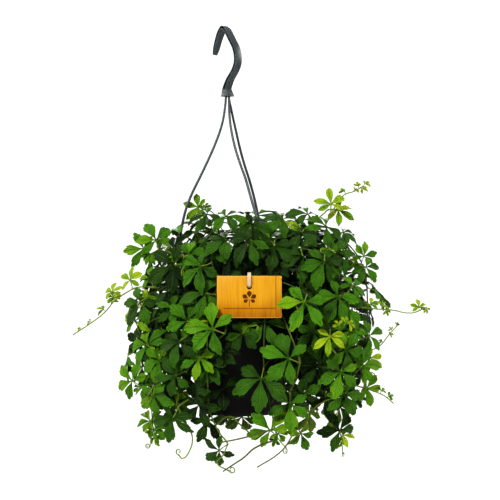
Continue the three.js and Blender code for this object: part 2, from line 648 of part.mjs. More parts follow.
// A whole vine as one surface: at each joint one triangle of the stem gives way to a leaf's stalk
function vineSolid(vine) {
  const { corners, triangles } = surfaceThroughRings(ringsAlong(vine.line, stemRadiusAt, 3));
  const opened = new Set();
  for (const { leaf, frame, joint } of vine.grown) {
    const blade = bladeSurface(leaf, frame);
    const offset = corners.length;
    corners.push(...blade.corners);
    triangles.push(...blade.triangles.map((t) => t.map((c) => c + offset)));
    const top = blade.stalkTop.map((c) => c + offset);
    const side = [0, 1, 2]
      .map((s) => joint * 6 + 2 * s)
      .reduce((best, next) => (facing(next, frame.hub) > facing(best, frame.hub) ? next : best));
    opened.add(side);
    triangles.push(...stalkWalls(top, leastTwisted(triangles[side], top)));
  }
  return solidFromTriangles(corners, triangles.filter((_, i) => !opened.has(i)));

  function facing(index, point) {
    const [a, b, c] = triangles[index].map((corner) => corners[corner]);
    const normal = b.clone().sub(a).cross(c.clone().sub(a)).normalize();
    return normal.dot(point.clone().sub(a).normalize());
  }

  function leastTwisted(foot, top) {
    const turns = [0, 1, 2].map((k) => [0, 1, 2].map((s) => foot[(s + k) % 3]));
    const reach = (corner, s) => corners[corner].distanceTo(corners[top[s]]);
    const spread = (turn) => turn.reduce((sum, corner, s) => sum + reach(corner, s), 0);
    return turns.reduce((best, turn) => (spread(turn) < spread(best) ? turn : best));
  }
}

// How a stem may swing sideways, rise and move its foot round the pot to keep clear of what is there
const stemSways = [
  [0, 0, 0], [6, 3, 0], [-6, 3, 0], [11, 8, 4], [-11, 8, -4], [4, 14, 0], [-4, 14, 0], [16, 2, 8],
  [-16, 2, -8], [20, 16, 12], [-20, 16, -12], [8, -8, 0], [-8, -8, 0], [0, 24, 0], [28, 8, 16],
  [-28, 8, -16], [4, 4, 25], [-4, 4, -25], [4, 4, 40], [-4, 4, -40],
];

// What has been placed so far, so that what comes next keeps clear of it
const placed = [];

function keep(solid) {
  const { min, max } = solid.boundingBox();
  const entry = { solid, min, max };
  placed.push(entry);
  return entry;
}

function isClear(solid, skip) {
  const { min, max } = solid.boundingBox();
  return placed.every((other) => {
    if (other === skip) return true;
    const apart = [0, 1, 2].some((axis) => min[axis] > other.max[axis] || max[axis] < other.min[axis]);
    return apart || solid.intersect(other.solid).isEmpty();
  });
}

// A vine whose stem finds no clear line isn't grown, nor is a leaf that finds no clear place
function placeStem(vine) {
  const held = vine.through ? tieEntry : null;
  for (const sway of stemSways) {
    const { line, joints } = stemLine(vine, sway);
    if (!isClear(stemSolid(line, 1), held)) continue;
    return [{ ...vine, line, joints, grown: [], stemEntry: keep(stemSolid(line)) }];
  }
  return [];
}

function growLeaf(vine, leaf, joint) {
  for (const sway of leafSways) {
    const frame = leafFrame(leaf, sway);
    if (!isClear(leafSolid(leaf, frame, 1), vine.stemEntry)) continue;
    keep(leafSolid(leaf, frame));
    vine.grown.push({ leaf, frame, joint });
    return;
  }
}

function meshOf(name, solid, colour) {
  const material = new THREE.MeshStandardMaterial({ color: colour, roughness: 0.6, metalness: 0 });
  const mesh = new THREE.Mesh(geometryOf(solid), material);
  mesh.name = name;
  return mesh;
}

const blackPlastic = "#1d1e1f";
const greyPlastic = "#585f5f";
const cardAmber = "#dd951f";
const tieCream = "#d9cfa8";
const soilBrown = "#2a1d14";
const leafGreens = ["#2f5f22", "#3b7326", "#4a8a2c", "#345f2c", "#5b9a31"];

const pot = potSolid();
const hook = hookSolid();
const arms = [0, 1, 2].map(armSolid);
const tag = tagSolid();
const tie = tieSolid();
[pot, hook, ...arms, tag].forEach(keep);
const tieEntry = keep(tie);

const vines = allVines().flatMap(placeStem);
const soil = soilSolid(vines);
keep(soil);
for (const vine of vines) {
  vine.leaves.forEach((leaf, k) => growLeaf(vine, leaf, vine.joints[k]));
}

const group = new THREE.Group();
group.name = "hanging_grape_ivy";
group.add(meshOf("pot", pot, blackPlastic));
group.add(meshOf("soil", soil, soilBrown));
group.add(meshOf("hook", hook, greyPlastic));
arms.forEach((arm, i) => group.add(meshOf(`arm_${i + 1}`, arm, greyPlastic)));
group.add(meshOf("tag", tag, cardAmber));
group.add(meshOf("tag_tie", tie, tieCream));
vines.forEach((vine, i) => {
  group.add(meshOf(`vine_${i + 1}`, vineSolid(vine), leafGreens[i % leafGreens.length]));
});

// The origin goes to the seat of the hook
const seat = hookPoint(-6, 0, hookSeatHeight);
for (const mesh of group.children) {
  mesh.geometry.translate(-seat.x, -seat.y, -seat.z);
}

export default group;
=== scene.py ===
import math

import bmesh
import bpy
import numpy as np
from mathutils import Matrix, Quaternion, Vector
from mathutils.kdtree import KDTree


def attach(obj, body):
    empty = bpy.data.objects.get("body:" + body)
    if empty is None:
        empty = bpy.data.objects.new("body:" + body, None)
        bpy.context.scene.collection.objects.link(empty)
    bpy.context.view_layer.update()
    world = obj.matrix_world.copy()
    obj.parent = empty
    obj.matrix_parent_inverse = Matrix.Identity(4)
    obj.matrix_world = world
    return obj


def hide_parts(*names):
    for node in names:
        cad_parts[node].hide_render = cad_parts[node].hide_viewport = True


# A miniature grape ivy in a hanging pot. Everything is modelled in millimetres round the middle of the
# pot's rim, and settle turns a piece into metres from the seat of the hook, as the frame has it.
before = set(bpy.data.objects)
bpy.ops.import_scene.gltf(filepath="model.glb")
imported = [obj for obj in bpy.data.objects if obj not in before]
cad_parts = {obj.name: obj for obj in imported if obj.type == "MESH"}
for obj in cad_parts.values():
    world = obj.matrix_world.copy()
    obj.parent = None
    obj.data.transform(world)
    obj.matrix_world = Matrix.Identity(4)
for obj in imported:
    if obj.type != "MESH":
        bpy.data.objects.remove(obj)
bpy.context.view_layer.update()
bpy.ops.object.select_all(action="DESELECT")
print("frame loaded,", len(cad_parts), "nodes")

mm = 0.001
hookSeat = Vector((-19.2426, 4.2426, 358.8))


def inRow(point):
    return (Vector(point) - hookSeat) * mm


def between(low, high, share):
    return low + (high - low) * share


def draw(a, b):  # a repeatable number from 0 to 1 for a seed and the number of what it decides
    keep = 0xFFFFFFFF
    h = ((a + 1) * 374761393 + (b + 1) * 668265263 + 2246822519) & keep
    h = ((h ^ (h >> 15)) * 2246822519) & keep
    h = ((h ^ (h >> 13)) * 3266489917) & keep
    return (h ^ (h >> 16)) / (keep + 1)


def turned(vector, axis, degrees):
    return Quaternion(axis, math.radians(degrees)) @ vector


def onCircle(radius, angle, height=0):
    a = math.radians(angle)
    return Vector((radius * math.cos(a), radius * math.sin(a), height))


def pointAlong(points, share):  # on a smooth line through points
    u = min(max(share, 0), 1) * (len(points) - 1)
    i = min(math.floor(u), len(points) - 2)
    f = u - i
    a, b, c, d = [points[min(max(i + k, 0), len(points) - 1)] for k in (-1, 0, 1, 2)]
    return (a * (-0.5 * f + f * f - 0.5 * f ** 3) + b * (1 - 2.5 * f * f + 1.5 * f ** 3)
            + c * (0.5 * f + 2 * f * f - 1.5 * f ** 3) + d * (-0.5 * f * f + 0.5 * f ** 3))


# Modelling helpers
def onlyThis(thing):
    bpy.ops.object.select_all(action="DESELECT")
    thing.select_set(True)
    bpy.context.view_layer.objects.active = thing


def startEditing(thing):
    onlyThis(thing)
    bpy.ops.object.mode_set(mode="EDIT")
    bpy.ops.mesh.select_mode(type="VERT")
    bpy.ops.mesh.select_all(action="DESELECT")


def stopEditing():
    bpy.ops.object.mode_set(mode="OBJECT")


def pick(thing, test):  # selects the vertices whose place passes the test
    shape = bmesh.from_edit_mesh(thing.data)
    for vertex in shape.verts:
        vertex.select_set(bool(test(vertex.co)))
    shape.select_flush_mode()
    bmesh.update_edit_mesh(thing.data)


def applyModifier(thing, kind, **settings):
    modifier = thing.modifiers.new(kind.lower(), kind)
    for key, value in settings.items():
        setattr(modifier, key, value)
    onlyThis(thing)
    bpy.ops.object.modifier_apply(modifier=modifier.name)


def joinAll(things, name):
    onlyThis(things[0])
    for thing in things[1:]:
        thing.select_set(True)
    if len(things) > 1:
        bpy.ops.object.join()
    things[0].name = name
    return things[0]


def applyPlace(thing):
    onlyThis(thing)
    bpy.ops.object.transform_apply(location=True, rotation=True, scale=True)


def added(thing):  # a new object or a copy, put into the scene
    bpy.context.collection.objects.link(thing)
    return thing


def copyOf(thing):
    copy = thing.copy()
    copy.data = thing.data.copy()
    return added(copy)


def cutWith(thing, cutter, operation="DIFFERENCE"):
    applyModifier(thing, "BOOLEAN", object=cutter, operation=operation, solver="EXACT")
    bpy.data.objects.remove(cutter)


def softenEdges(thing, width, segments=2):
    applyModifier(thing, "BEVEL", width=width, segments=segments, limit_method="ANGLE",
                  angle_limit=math.radians(35))


def addBlock(size, place, turn=0):
    bpy.ops.mesh.primitive_cube_add(size=1, location=place, rotation=(0, 0, turn), scale=size)
    block = bpy.context.active_object
    applyPlace(block)
    return block


def addPeg(sides, radius, length, place, rotation=(0, 0, 0)):
    bpy.ops.mesh.primitive_cylinder_add(vertices=sides, radius=radius, depth=length, location=place,
                                        rotation=rotation)
    peg = bpy.context.active_object
    applyPlace(peg)
    return peg


def pileRings(name, sides, rings):  # a round body, piled up ring by ring as (radius, height)
    radius, height = rings[0]
    bpy.ops.mesh.primitive_circle_add(vertices=sides, radius=radius, fill_type="NGON",
                                      location=(0, 0, height))
    body = bpy.context.active_object
    body.name = name
    applyPlace(body)
    bpy.ops.object.mode_set(mode="EDIT")
    bpy.ops.mesh.select_mode(type="EDGE")
    bpy.ops.mesh.select_all(action="SELECT")
    for (oldRadius, oldHeight), (newRadius, newHeight) in zip(rings, rings[1:]):
        rise = (0, 0, newHeight - oldHeight)
        bpy.ops.mesh.extrude_region_move(TRANSFORM_OT_translate={"value": rise})
        share = newRadius / oldRadius
        bpy.ops.transform.resize(value=(share, share, 1), center_override=(0, 0, newHeight))
    bpy.ops.mesh.select_all(action="SELECT")
    bpy.ops.mesh.normals_make_consistent(inside=False)
    stopEditing()
    return body


def sweepRings(name, rings, closed=False):  # a grid bent so that its rows lie on the rings
    loops = rings + rings[:1] if closed else rings
    sides = len(rings[0])
    bpy.ops.mesh.primitive_grid_add(x_subdivisions=len(loops) - 1, y_subdivisions=sides, size=2)
    body = bpy.context.active_object
    body.name = name
    for vertex in body.data.vertices:
        ring = round((vertex.co.x + 1) / 2 * (len(loops) - 1))
        side = round((vertex.co.y + 1) / 2 * sides) % sides
        vertex.co = loops[ring][side]
    startEditing(body)
    bpy.ops.mesh.select_all(action="SELECT")
    bpy.ops.mesh.remove_doubles(threshold=0.0001)
    if not closed:
        bpy.ops.mesh.fill_holes(sides=0)
    bpy.ops.mesh.select_all(action="SELECT")
    bpy.ops.mesh.normals_make_consistent(inside=False)
    stopEditing()
    return body


def rodsOf(name, rods, fineness=1):  # round rods as (points, radii), bent smoothly through the points
    curve = bpy.data.curves.new(name, "CURVE")
    curve.dimensions = "3D"
    curve.bevel_depth = 1
    curve.bevel_resolution = fineness
    curve.resolution_u = 4
    curve.use_fill_caps = True
    for points, radii in rods:
        spline = curve.splines.new("BEZIER")
        spline.bezier_points.add(len(points) - 1)
        for knot, point, radius in zip(spline.bezier_points, points, radii):
            knot.co = point
            knot.radius = radius
            knot.handle_left_type = knot.handle_right_type = "AUTO"
    onlyThis(added(bpy.data.objects.new(name, curve)))
    bpy.ops.object.convert(target="MESH")
    return bpy.context.active_object


def settle(piece):
    piece.scale = (mm, mm, mm)
    piece.location = -hookSeat * mm
    applyPlace(piece)


def finishPiece(piece, nodes, smooth=40):
    settle(piece)
    onlyThis(piece)
    bpy.ops.object.shade_smooth_by_angle(angle=math.radians(smooth))
    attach(piece, "root")
    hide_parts(*nodes)


# Shader helpers
class Wire:
    def __init__(self, tree, end=None):
        self.tree = tree
        self.end = end

    def node(self, kind, settings=None, sockets=None, output=0):
        made = self.tree.nodes.new(kind)
        for key, value in (settings or {}).items():
            if key == "stops":
                while len(made.color_ramp.elements) < len(value):
                    made.color_ramp.elements.new(1)
                for stop, (place, colour) in zip(made.color_ramp.elements, value):
                    stop.position = place
                    stop.color = (*colour, 1)
            else:
                setattr(made, key, value)
        for key, value in (sockets or {}).items():
            if isinstance(value, Wire):
                self.tree.links.new(value.end, made.inputs[key])
            else:
                made.inputs[key].default_value = value
        return Wire(self.tree, made.outputs[output])

    def maths(self, operation, *values):
        return self.node("ShaderNodeMath", {"operation": operation}, dict(enumerate(values)))

    def __add__(self, other):
        return self.maths("ADD", self, other)

    def __sub__(self, other):
        return self.maths("SUBTRACT", self, other)

    def __rsub__(self, other):
        return self.maths("SUBTRACT", other, self)

    def __mul__(self, other):
        return self.maths("MULTIPLY", self, other)

    def __abs__(self):
        return self.maths("ABSOLUTE", self)

    def fract(self):
        return self.maths("FRACT", self)

    def larger(self, other):
        return self.maths("MAXIMUM", self, other)

    def parts(self):  # the x, y and z of a vector
        split = self.node("ShaderNodeSeparateXYZ", None, {0: self})
        return [Wire(self.tree, output) for output in split.end.node.outputs]

    def stretched(self, scale):
        return self.node("ShaderNodeMapping", None, {"Vector": self, "Scale": scale})

    def rises(self, low, high):  # 0 below low, 1 above high, smooth in between
        return self.node("ShaderNodeMapRange", {"interpolation_type": "SMOOTHSTEP"},
                         {"Value": self, "From Min": low, "From Max": high})

    def noise(self, scale, detail=3, roughness=0.5):
        return self.node("ShaderNodeTexNoise", None,
                         {"Vector": self, "Scale": scale, "Detail": detail, "Roughness": roughness})

    def ramp(self, *stops):
        return self.node("ShaderNodeValToRGB", {"stops": stops}, {"Fac": self})

    def mixed(self, other, share):  # this colour, giving way to the other one
        colours = {0: share, 6: self, 7: other}
        return self.node("ShaderNodeMix", {"data_type": "RGBA"}, colours, 2)

    def feeds(self, shader, socket):
        self.tree.links.new(self.end, shader.inputs[socket])

    def bumps(self, shader, strength, distance):
        normal = self.node("ShaderNodeBump", None,
                           {"Height": self, "Strength": strength, "Distance": distance})
        normal.feeds(shader, "Normal")


def newMaterial(name, **constants):
    material = bpy.data.materials.new(name)
    material.use_nodes = True
    shader = material.node_tree.nodes["Principled BSDF"]
    for key, value in constants.items():
        shader.inputs[key.replace("_", " ")].default_value = value
    start = Wire(material.node_tree)
    place = start.node("ShaderNodeTexCoord", output="Object")
    return material, shader, place


plastics = {
    "blackPotPlastic": {"dark": (0.0025, 0.0018, 0.002), "pale": (0.006, 0.0045, 0.005),
                        "roughness": 0.55, "speckle": 0.2, "specular": 0.14},
    "greyHangerPlastic": {"dark": (0.026, 0.034, 0.037), "pale": (0.046, 0.057, 0.06),
                          "roughness": 0.42, "speckle": 0.15, "specular": 0.4},
}
leafSides = {
    "leafTop": {
        # from 0, near black, painted shade for the leaves deep in the bush, up to lime at 1
        "tones": [(0, (0.005, 0.013, 0.003)), (0.12, (0.014, 0.036, 0.005)), (0.3, (0.026, 0.076, 0.006)),
                  (0.6, (0.062, 0.19, 0.007)), (0.85, (0.17, 0.31, 0.009)), (1, (0.33, 0.44, 0.014))],
        "vein": (0.16, 0.3, 0.05, 1),
        "veinDepth": 3,
        "roughness": 0.36,
    },
    "leafUnder": {
        "tones": [(0, (0.05, 0.1, 0.03)), (0.45, (0.1, 0.2, 0.04)), (1, (0.3, 0.4, 0.05))],
        "vein": (0.26, 0.36, 0.1, 1),
        "veinDepth": -2,  # the veins stand out below
        "roughness": 0.5,
    },
}
veins = {
    "pairs": 6.5,
    "slant": 1.9,
    "midrib": (0.02, 0.12),  # where it gives way to the blade, from the middle, 0, to the edge, 1
    "sideRib": (0.78, 0.98),
    "sideRibEnd": (0.75, 1),
    "paleness": {"midrib": 0.24, "sideRib": 0.05, "edge": 0.06},
}
barks = {
    # stemBark is the old stems' own colour, and painted shade on the infill stalks and the tie's stem
    "stemBark": {"green": (0.034, 0.07, 0.007), "brown": (0.028, 0.018, 0.006), "brownShare": 0.3},
    "trailStem": {"green": (0.075, 0.11, 0.014), "brown": (0.075, 0.05, 0.016), "brownShare": 0.35},
    "youngStem": {"green": (0.11, 0.2, 0.016), "brown": (0.19, 0.19, 0.04), "brownShare": 0.3},
}


def plasticMaterial(name):
    finish = plastics[name]
    material, shader, place = newMaterial(name, Specular_IOR_Level=finish["specular"])
    cloud = place.noise(38, 4)
    fine = place.noise(900, 2)
    share = cloud * 0.8 + fine * 0.2
    share.ramp((0.3, finish["dark"]), (0.7, finish["pale"])).feeds(shader, "Base Color")
    (cloud * 0.16 + (finish["roughness"] - 0.08)).feeds(shader, "Roughness")
    (fine * finish["speckle"] + cloud).bumps(shader, 0.12, 0.0004)
    return material


def leafMaterial(name):
    side, paleness = leafSides[name], veins["paleness"]
    material, shader, place = newMaterial(name, Specular_IOR_Level=0.07)
    # each leaf's tone comes in as an attribute, and its low end is painted shade
    tint = place.node("ShaderNodeAttribute", {"attribute_name": "tint"}, output="Fac")
    along, across = place.node("ShaderNodeUVMap", {"uv_map": "leafMap"}).parts()[:2]
    off = abs(across - 0.5) * 2  # 0 on the midrib, 1 at the edge
    ladder = abs((along * veins["pairs"] - off * veins["slant"]).fract() - 0.5) * 2
    midrib = 1 - off.rises(*veins["midrib"])
    sideRib = ladder.rises(*veins["sideRib"]) * (1 - off.rises(*veins["sideRibEnd"]))
    ribs = (midrib * paleness["midrib"]).larger(sideRib * paleness["sideRib"])
    edge = off.rises(0.9, 1) * paleness["edge"]
    cloud = place.noise(90, 4)
    mottle = place.noise(420, 3)
    tone = tint + cloud * 0.26 + mottle * 0.12 - 0.19
    tone.ramp(*side["tones"]).mixed(side["vein"], ribs + edge).feeds(shader, "Base Color")
    (cloud * 0.2 + tint * 0.12 + side["roughness"]).feeds(shader, "Roughness")
    pillows = 1 - ladder * ladder  # the blade swells between its side veins
    relief = mottle * 0.4 + cloud * 0.6 + pillows * 0.45 - ribs * side["veinDepth"]
    relief.bumps(shader, 0.9, 0.0014)
    return material


def stemMaterial(name):
    bark = barks[name]
    material, shader, place = newMaterial(name, Specular_IOR_Level=0.1)
    cloud = place.noise(55, 3)
    grain = place.noise(600, 3)
    mix = cloud * 1.2 + grain * 0.3 + (bark["brownShare"] - 0.75)
    mix.ramp((0, bark["green"]), (1, bark["brown"])).feeds(shader, "Base Color")
    (grain * 0.2 + 0.4).feeds(shader, "Roughness")
    grain.bumps(shader, 0.4, 0.0003)
    return material


potPlastic, hangerPlastic = [plasticMaterial(name) for name in plastics]
leafTop, leafUnder = [leafMaterial(name) for name in leafSides]
oldAndShadedStem, trailStem, youngStem = [stemMaterial(name) for name in barks]
print("materials ready")

# The vines: how each leaf of the front is placed in the picture, and the rules for the rest
view = {
    "pixel": 1.25,  # millimetres at the pot's axis
    "centre": 250,  # the picture's middle, in pixels
    "point": Vector((12.5, -2000, 118)),
    "middle": Vector((12.5, 0, 82.5)),
}
bush = {"centre": Vector((17, 0, -16)), "radii": Vector((166, 138, 168)), "front": -60}
leafPlan = {
    "angles": [-118, -60, 0, 60, 118],  # of the leaflets round the stalk, in degrees
    "lengths": [0.76, 0.93, 1, 0.93, 0.76],
    "thickness": 0.35,
    "folds": (0.12, 0.3),
    "droops": (0.1, 0.38),
    "stalkShare": 0.22,  # the stalk starts this share of the leaf's size behind the hub,
    "stalkReach": 5,  # and this much more,
    "stalkDepth": 7,  # and this far under it
}
facing = {  # how a leaf of the front turns: towards the outside, the viewer and the sky
    "outward": 0.5,
    "viewer": (-1, -0.6),
    "sky": (0.3, 0.9),
    "skyRise": (2.2, 1.2),
    "skyLeast": 0.3,
    "sway": 0.5,
    "grows": 1.05,
}
ruled = {  # the leaves of the back, the sides and the top
    "shares": (0.84, 0.98),  # of the way from the bush's centre to its outside
    "top": {"above": 60, "sinks": 0.17},
    "low": {"below": -30, "paler": 0.2},
    "tones": (0.15, 0.5),
    "sky": 0.45,
    "downhill": -0.9,
    "sway": 0.5,
    "sizes": (40, 28),
    "growth": (0.9, 1.1),
    "turns": (15, 55),
    "rises": (-5, 5),
    "aside": 6,
}
seeds = {"ruled": 500, "infill": 3000, "young": 5000, "ends": 5020, "tendrils": 7000}
leaflets = {  # rows along a leaflet 1 long, half its width at each, and teeth as row, outwards and onwards
    "mature": {
        "rows": [0, 0.12, 0.24, 0.36, 0.44, 0.52, 0.59, 0.66, 0.73, 0.8, 0.89, 1],
        "halfWidths": [0.014, 0.034, 0.094, 0.16, 0.195, 0.22, 0.227, 0.212, 0.176, 0.124, 0.06, 0.001],
        "teeth": [(3, -0.01, 0), (4, 0.034, 0.05), (5, -0.026, -0.015), (6, 0.044, 0.06),
                  (7, -0.03, -0.015), (8, 0.046, 0.06), (9, -0.028, -0.015), (10, 0.03, 0.05)],
        "columns": 7,
    },
    "young": {
        "rows": [0, 0.15, 0.3, 0.45, 0.6, 0.75, 0.88, 1],
        "halfWidths": [0.014, 0.062, 0.15, 0.215, 0.228, 0.19, 0.105, 0.001],
        "teeth": [(5, 0.012, 0.02)],
        "columns": 5,
    },
    "inner": {
        "rows": [0, 0.2, 0.4, 0.58, 0.72, 0.86, 1],
        "halfWidths": [0.014, 0.075, 0.19, 0.235, 0.185, 0.09, 0.001],
        "teeth": [(3, 0.02, 0.02), (4, -0.01, 0)],
        "columns": 5,
    },
}
stemPlan = {
    "radius": 1.2,
    "taper": (1.25, 0.5),
    "jointLength": 2.6,
    "longSpan": 34,
    "soilTop": -13,
    "footDepth": 9,
    "collar": 4,
    "hanging": {"below": 10, "crestAt": 0.4, "crest": 34, "over": 14},
    "standing": {"crestAt": 0.45, "crest": 0.72},
    "solidSides": 3,
    "roundShare": 0.9,  # of the solid's radius
    "knot": 1.3,
    "shoot": 0.75,
}

# A row of leaves holds u, v, the middle leaflet's angle, its length, how far it stands back and how much
# it leans, where the last two may be left out. A young leaf has u, v, angle and length, and a shoot's or a
# trail's point u, v and depth. There is one tone for each leaf, from the darkest green, 0, to lime, 1;
# the low tones of leaves that stand far back in the bush are painted shade.
frontVines = [
    {"foot": (-27, 14), "tones": (0.22, 0.8),
     "leaves": [(207, 214, 200, 28, 16), (198, 207, 165, 20, 26, 0)]},
    {"foot": (-9, 2), "tones": (0.3, 0.5), "leaves": [(226, 216, 10, 30, 16), (255, 222, 60, 17, 24)]},
    {"foot": (2, -16), "tones": (0.28, 0.15, 0.25),
     "leaves": [(226, 241, 235, 30, 30), (250, 232, 340, 28, 26), (252, 246, 225, 31, 16)]},
    {"foot": (14, -26), "tones": (0.05, 0.05),
     "leaves": [(243, 262, 250, 30, 62), (266, 268, 280, 30, 56)]},
    {"foot": (24, -8), "tones": (0.18, 0.3), "leaves": [(274, 247, 262, 30, 18), (283, 219, 130, 29, 16)]},
    {"foot": (29, 9), "tones": (0.32, 0.85, 0.9),
     "leaves": [(308, 214, 165, 27, 24), (338, 210, 330, 22, 16, 0.2), (331, 204, 95, 24, -8, 0)],
     "shoot": [(344, 195, -10), (355, 191, -12), (363, 186, -14)],
     "young": [(347, 196, 120, 9), (353, 193, 40, 8), (358, 188, 100, 8), (361, 189, 330, 8),
               (363, 186, 40, 9)]},
    {"foot": (41, -16), "tones": (0.2, 0.3, 0.35),
     "leaves": [(301, 232, 240, 30, 20), (326, 226, 195, 31, 10), (336, 253, 300, 27, 2)]},
    {"foot": (43, 4), "tones": (0.3, 0.6, 0.4),
     "leaves": [(343, 232, 320, 22, 12), (364, 256, 75, 19, 0, 0), (366, 267, 300, 22)]},
    {"foot": (32, -28), "tones": (0.22, 0.3, 0.25),
     "leaves": [(303, 256, 275, 30, 18), (324, 262, 245, 31, 4), (339, 274, 300, 31)]},
    {"foot": (46, -10), "tones": (0.6, 0.4, 0.85),
     "leaves": [(353, 286, 50, 21), (346, 307, 305, 28), (371, 304, 20, 12)],
     "shoot": [(392, 310, -24), (412, 313, -28), (427, 307, -30)],
     "young": [(374, 303, 150, 10), (381, 306, 60, 12), (386, 308, 290, 7), (419, 309, 95, 13),
               (425, 308, 300, 7)]},
    {"foot": (40, -24), "tones": (0.45, 0.5, 0.88),
     "leaves": [(350, 330, 200, 29, 10), (366, 337, 30, 24), (370, 358, 320, 22)],
     "shoot": [(381, 345, -34), (389, 335, -36), (398, 325, -38)],
     "young": [(383, 343, 150, 5), (388, 336, 20, 6), (392, 331, 130, 5), (396, 327, 60, 5)]},
    {"foot": (22, -40), "through": [(-2, -66, 44), (-14, -112, 51), (11.7, -118.6, 53.6), (37, -116, 50)],
     "tones": (0.6, 0.95), "leaves": [(304.5, 302, 250, 34, -8), (330, 336.7, 265, 23, -10)],
     "shoot": [(338, 329, -138), (347, 324, -140)],
     "young": [(340, 327, 120, 9), (344, 325, 60, 10), (347, 324, 350, 10)]},
    {"foot": (38, -34), "tones": (0.4, 0.3, 0.5),
     "leaves": [(337, 300, 235, 31, 10), (322, 318, 280, 29, 26), (346, 350, 265, 29)]},
    {"foot": (24, -48), "over": (46, -92), "tones": (0.42, 0.5, 0.62),
     "leaves": [(288.9, 358.5, 162, 38), (290, 404, 270, 30), (301, 434, 290, 22)],
     "shoot": [(280, 453, -98), (257, 468, -104)]},
    {"foot": (12, -52), "over": (30, -100), "tones": (0.36, 0.66),
     "leaves": [(261.3, 378.6, 262, 38, 6), (270.5, 431, 125, 31)],
     "trails": [[(252, 436, -100), (236, 440, -98), (220, 443, -90)],
                [(254, 449, -106), (244, 458, -104), (235, 464, -98), (223, 472, -92)]]},
    {"foot": (51, -18), "over": (84, -36), "tones": (0.05, 0.05),
     "leaves": [(312, 341, 262, 32, 78), (311, 368, 250, 31, 64)]},
    {"foot": (44, -38), "over": (66, -78), "tones": (0.5, 0.5, 0.75),
     "leaves": [(340, 372, 230, 30), (344, 394, 300, 29), (367, 388, 350, 24)],
     "shoot": [(378, 393, -52), (386, 397, -56), (394, 404, -60)],
     "young": [(380, 395, 60, 9), (387, 398, 20, 7)],
     "trails": [[(340, 394, -76), (326, 401, -88), (314, 409, -96), (308, 420, -100), (301, 432, -104),
                 (285, 447, -104)]]},
    {"foot": (50, -30), "over": (78, -62), "tones": (0.6, 0.1, 0.15),
     "leaves": [(362, 366, 60, 26), (326, 398, 265, 21, 30), (340, 431, 125, 30)],
     "trails": [[(319, 392, -60), (316, 402, -62), (317.5, 410, -62), (315, 417, -60)]]},
    {"foot": (4, -44), "over": (8, -96), "tones": (0.35, 0.3),
     "leaves": [(264, 320, 262, 30, 28), (243, 334, 245, 24, 26)]},
    {"foot": (-14, -46), "over": (-20, -104), "tones": (0.5, 0.62),
     "leaves": [(212.8, 329.3, 159, 38, -4), (199, 358, 265, 25)]},
    {"foot": (-28, -26), "tones": (0.35, 0.45, 0.5),
     "leaves": [(201, 266, 212, 32), (206, 293, 185, 31, 8), (186, 321, 170, 29)]},
    {"foot": (-20, -12), "tones": (0.15, 0.5),
     "leaves": [(209, 246, 225, 27, 22), (189, 256, 350, 25, 12)]},
    {"foot": (-40, -14), "tones": (0.12, 0.15, 0.25),
     "leaves": [(174, 265, 195, 36), (163, 285, 215, 30), (140, 302, 235, 29)]},
    {"foot": (-44, 0), "tones": (0.6, 0.85, 0.9),
     "leaves": [(150, 278, 110, 21, 16), (130, 280, 95, 20), (112, 292, 100, 17)],
     "shoot": [(104, 313, -20), (88, 325, -24), (72.6, 335, -28)],
     "young": [(117, 299, 110, 13), (108, 303, 80, 11), (103, 309, 150, 10), (90, 320, 160, 6),
               (80, 329, 160, 5)]},
    {"foot": (-38, 12), "tones": (0.45, 0.62, 0.66),
     "leaves": [(184, 252, 20, 20, 20), (156, 240, 109, 29, 12, 0), (143, 248, 140, 26, -8, 0)]},
    {"foot": (-47, -16), "tones": (0.3, 0.7, 0.55),
     "leaves": [(172, 307, 185, 31), (135, 321, 100, 25), (148, 345, 125, 32)]},
    {"foot": (-50, -8), "over": (-85, -26), "tones": (0.05, 0.05, 0.1),
     "leaves": [(180, 338, 262, 31, 80), (190, 374, 300, 29, 46), (176, 402, 250, 31, 40)]},
    {"foot": (-44, -26), "tones": (0.2, 0.45, 0.6),
     "leaves": [(182, 342, 240, 26), (160, 360, 265, 32), (132, 381, 140, 28)]},
    {"foot": (-36, -36), "over": (-72, -74), "tones": (0.3, 0.55, 0.7),
     "leaves": [(178, 376, 215, 28, 6), (153, 395, 280, 28), (155, 430, 20, 22)],
     "young": [(150, 427, 120, 22), (156, 434, 300, 15)]},
    {"foot": (-28, -44), "over": (-52, -88), "tones": (0.15, 0.2), "curls": True,
     "leaves": [(199, 405, 290, 29, 30), (173, 418, 250, 31)],
     "shoot": [(192, 436, -64), (189, 452, -62), (182, 459, -60), (179, 456, -58)]},
    {"foot": (-8, -54), "over": (-36, -98), "tones": (0.1, 0.2), "curls": True,
     "leaves": [(208, 422, 262, 28, 24), (219, 451, 215, 26)], "shoot": [(217, 464, -86), (228, 471, -90)],
     "trails": [[(231, 417, -84), (239, 424, -90), (249, 433, -94)]]},
]
ruledGroups = [
    {"count": 9, "from": -4, "to": 188, "heights": (46, 14, -16, -44), "footRadius": 46},
    {"count": 6, "from": 8, "to": 168, "heights": (62, 30), "footRadius": 30},
    {"count": 4, "from": 10, "to": 270, "heights": (78,), "footRadius": 15},
]


def bothWays(sways):  # each sway, followed by its mirror image if that is another one
    both = []
    for sway in sways:
        mirrored = (-sway[0], sway[1], -sway[2], *sway[3:])
        both += [sway] if mirrored == sway else [sway, mirrored]
    return both


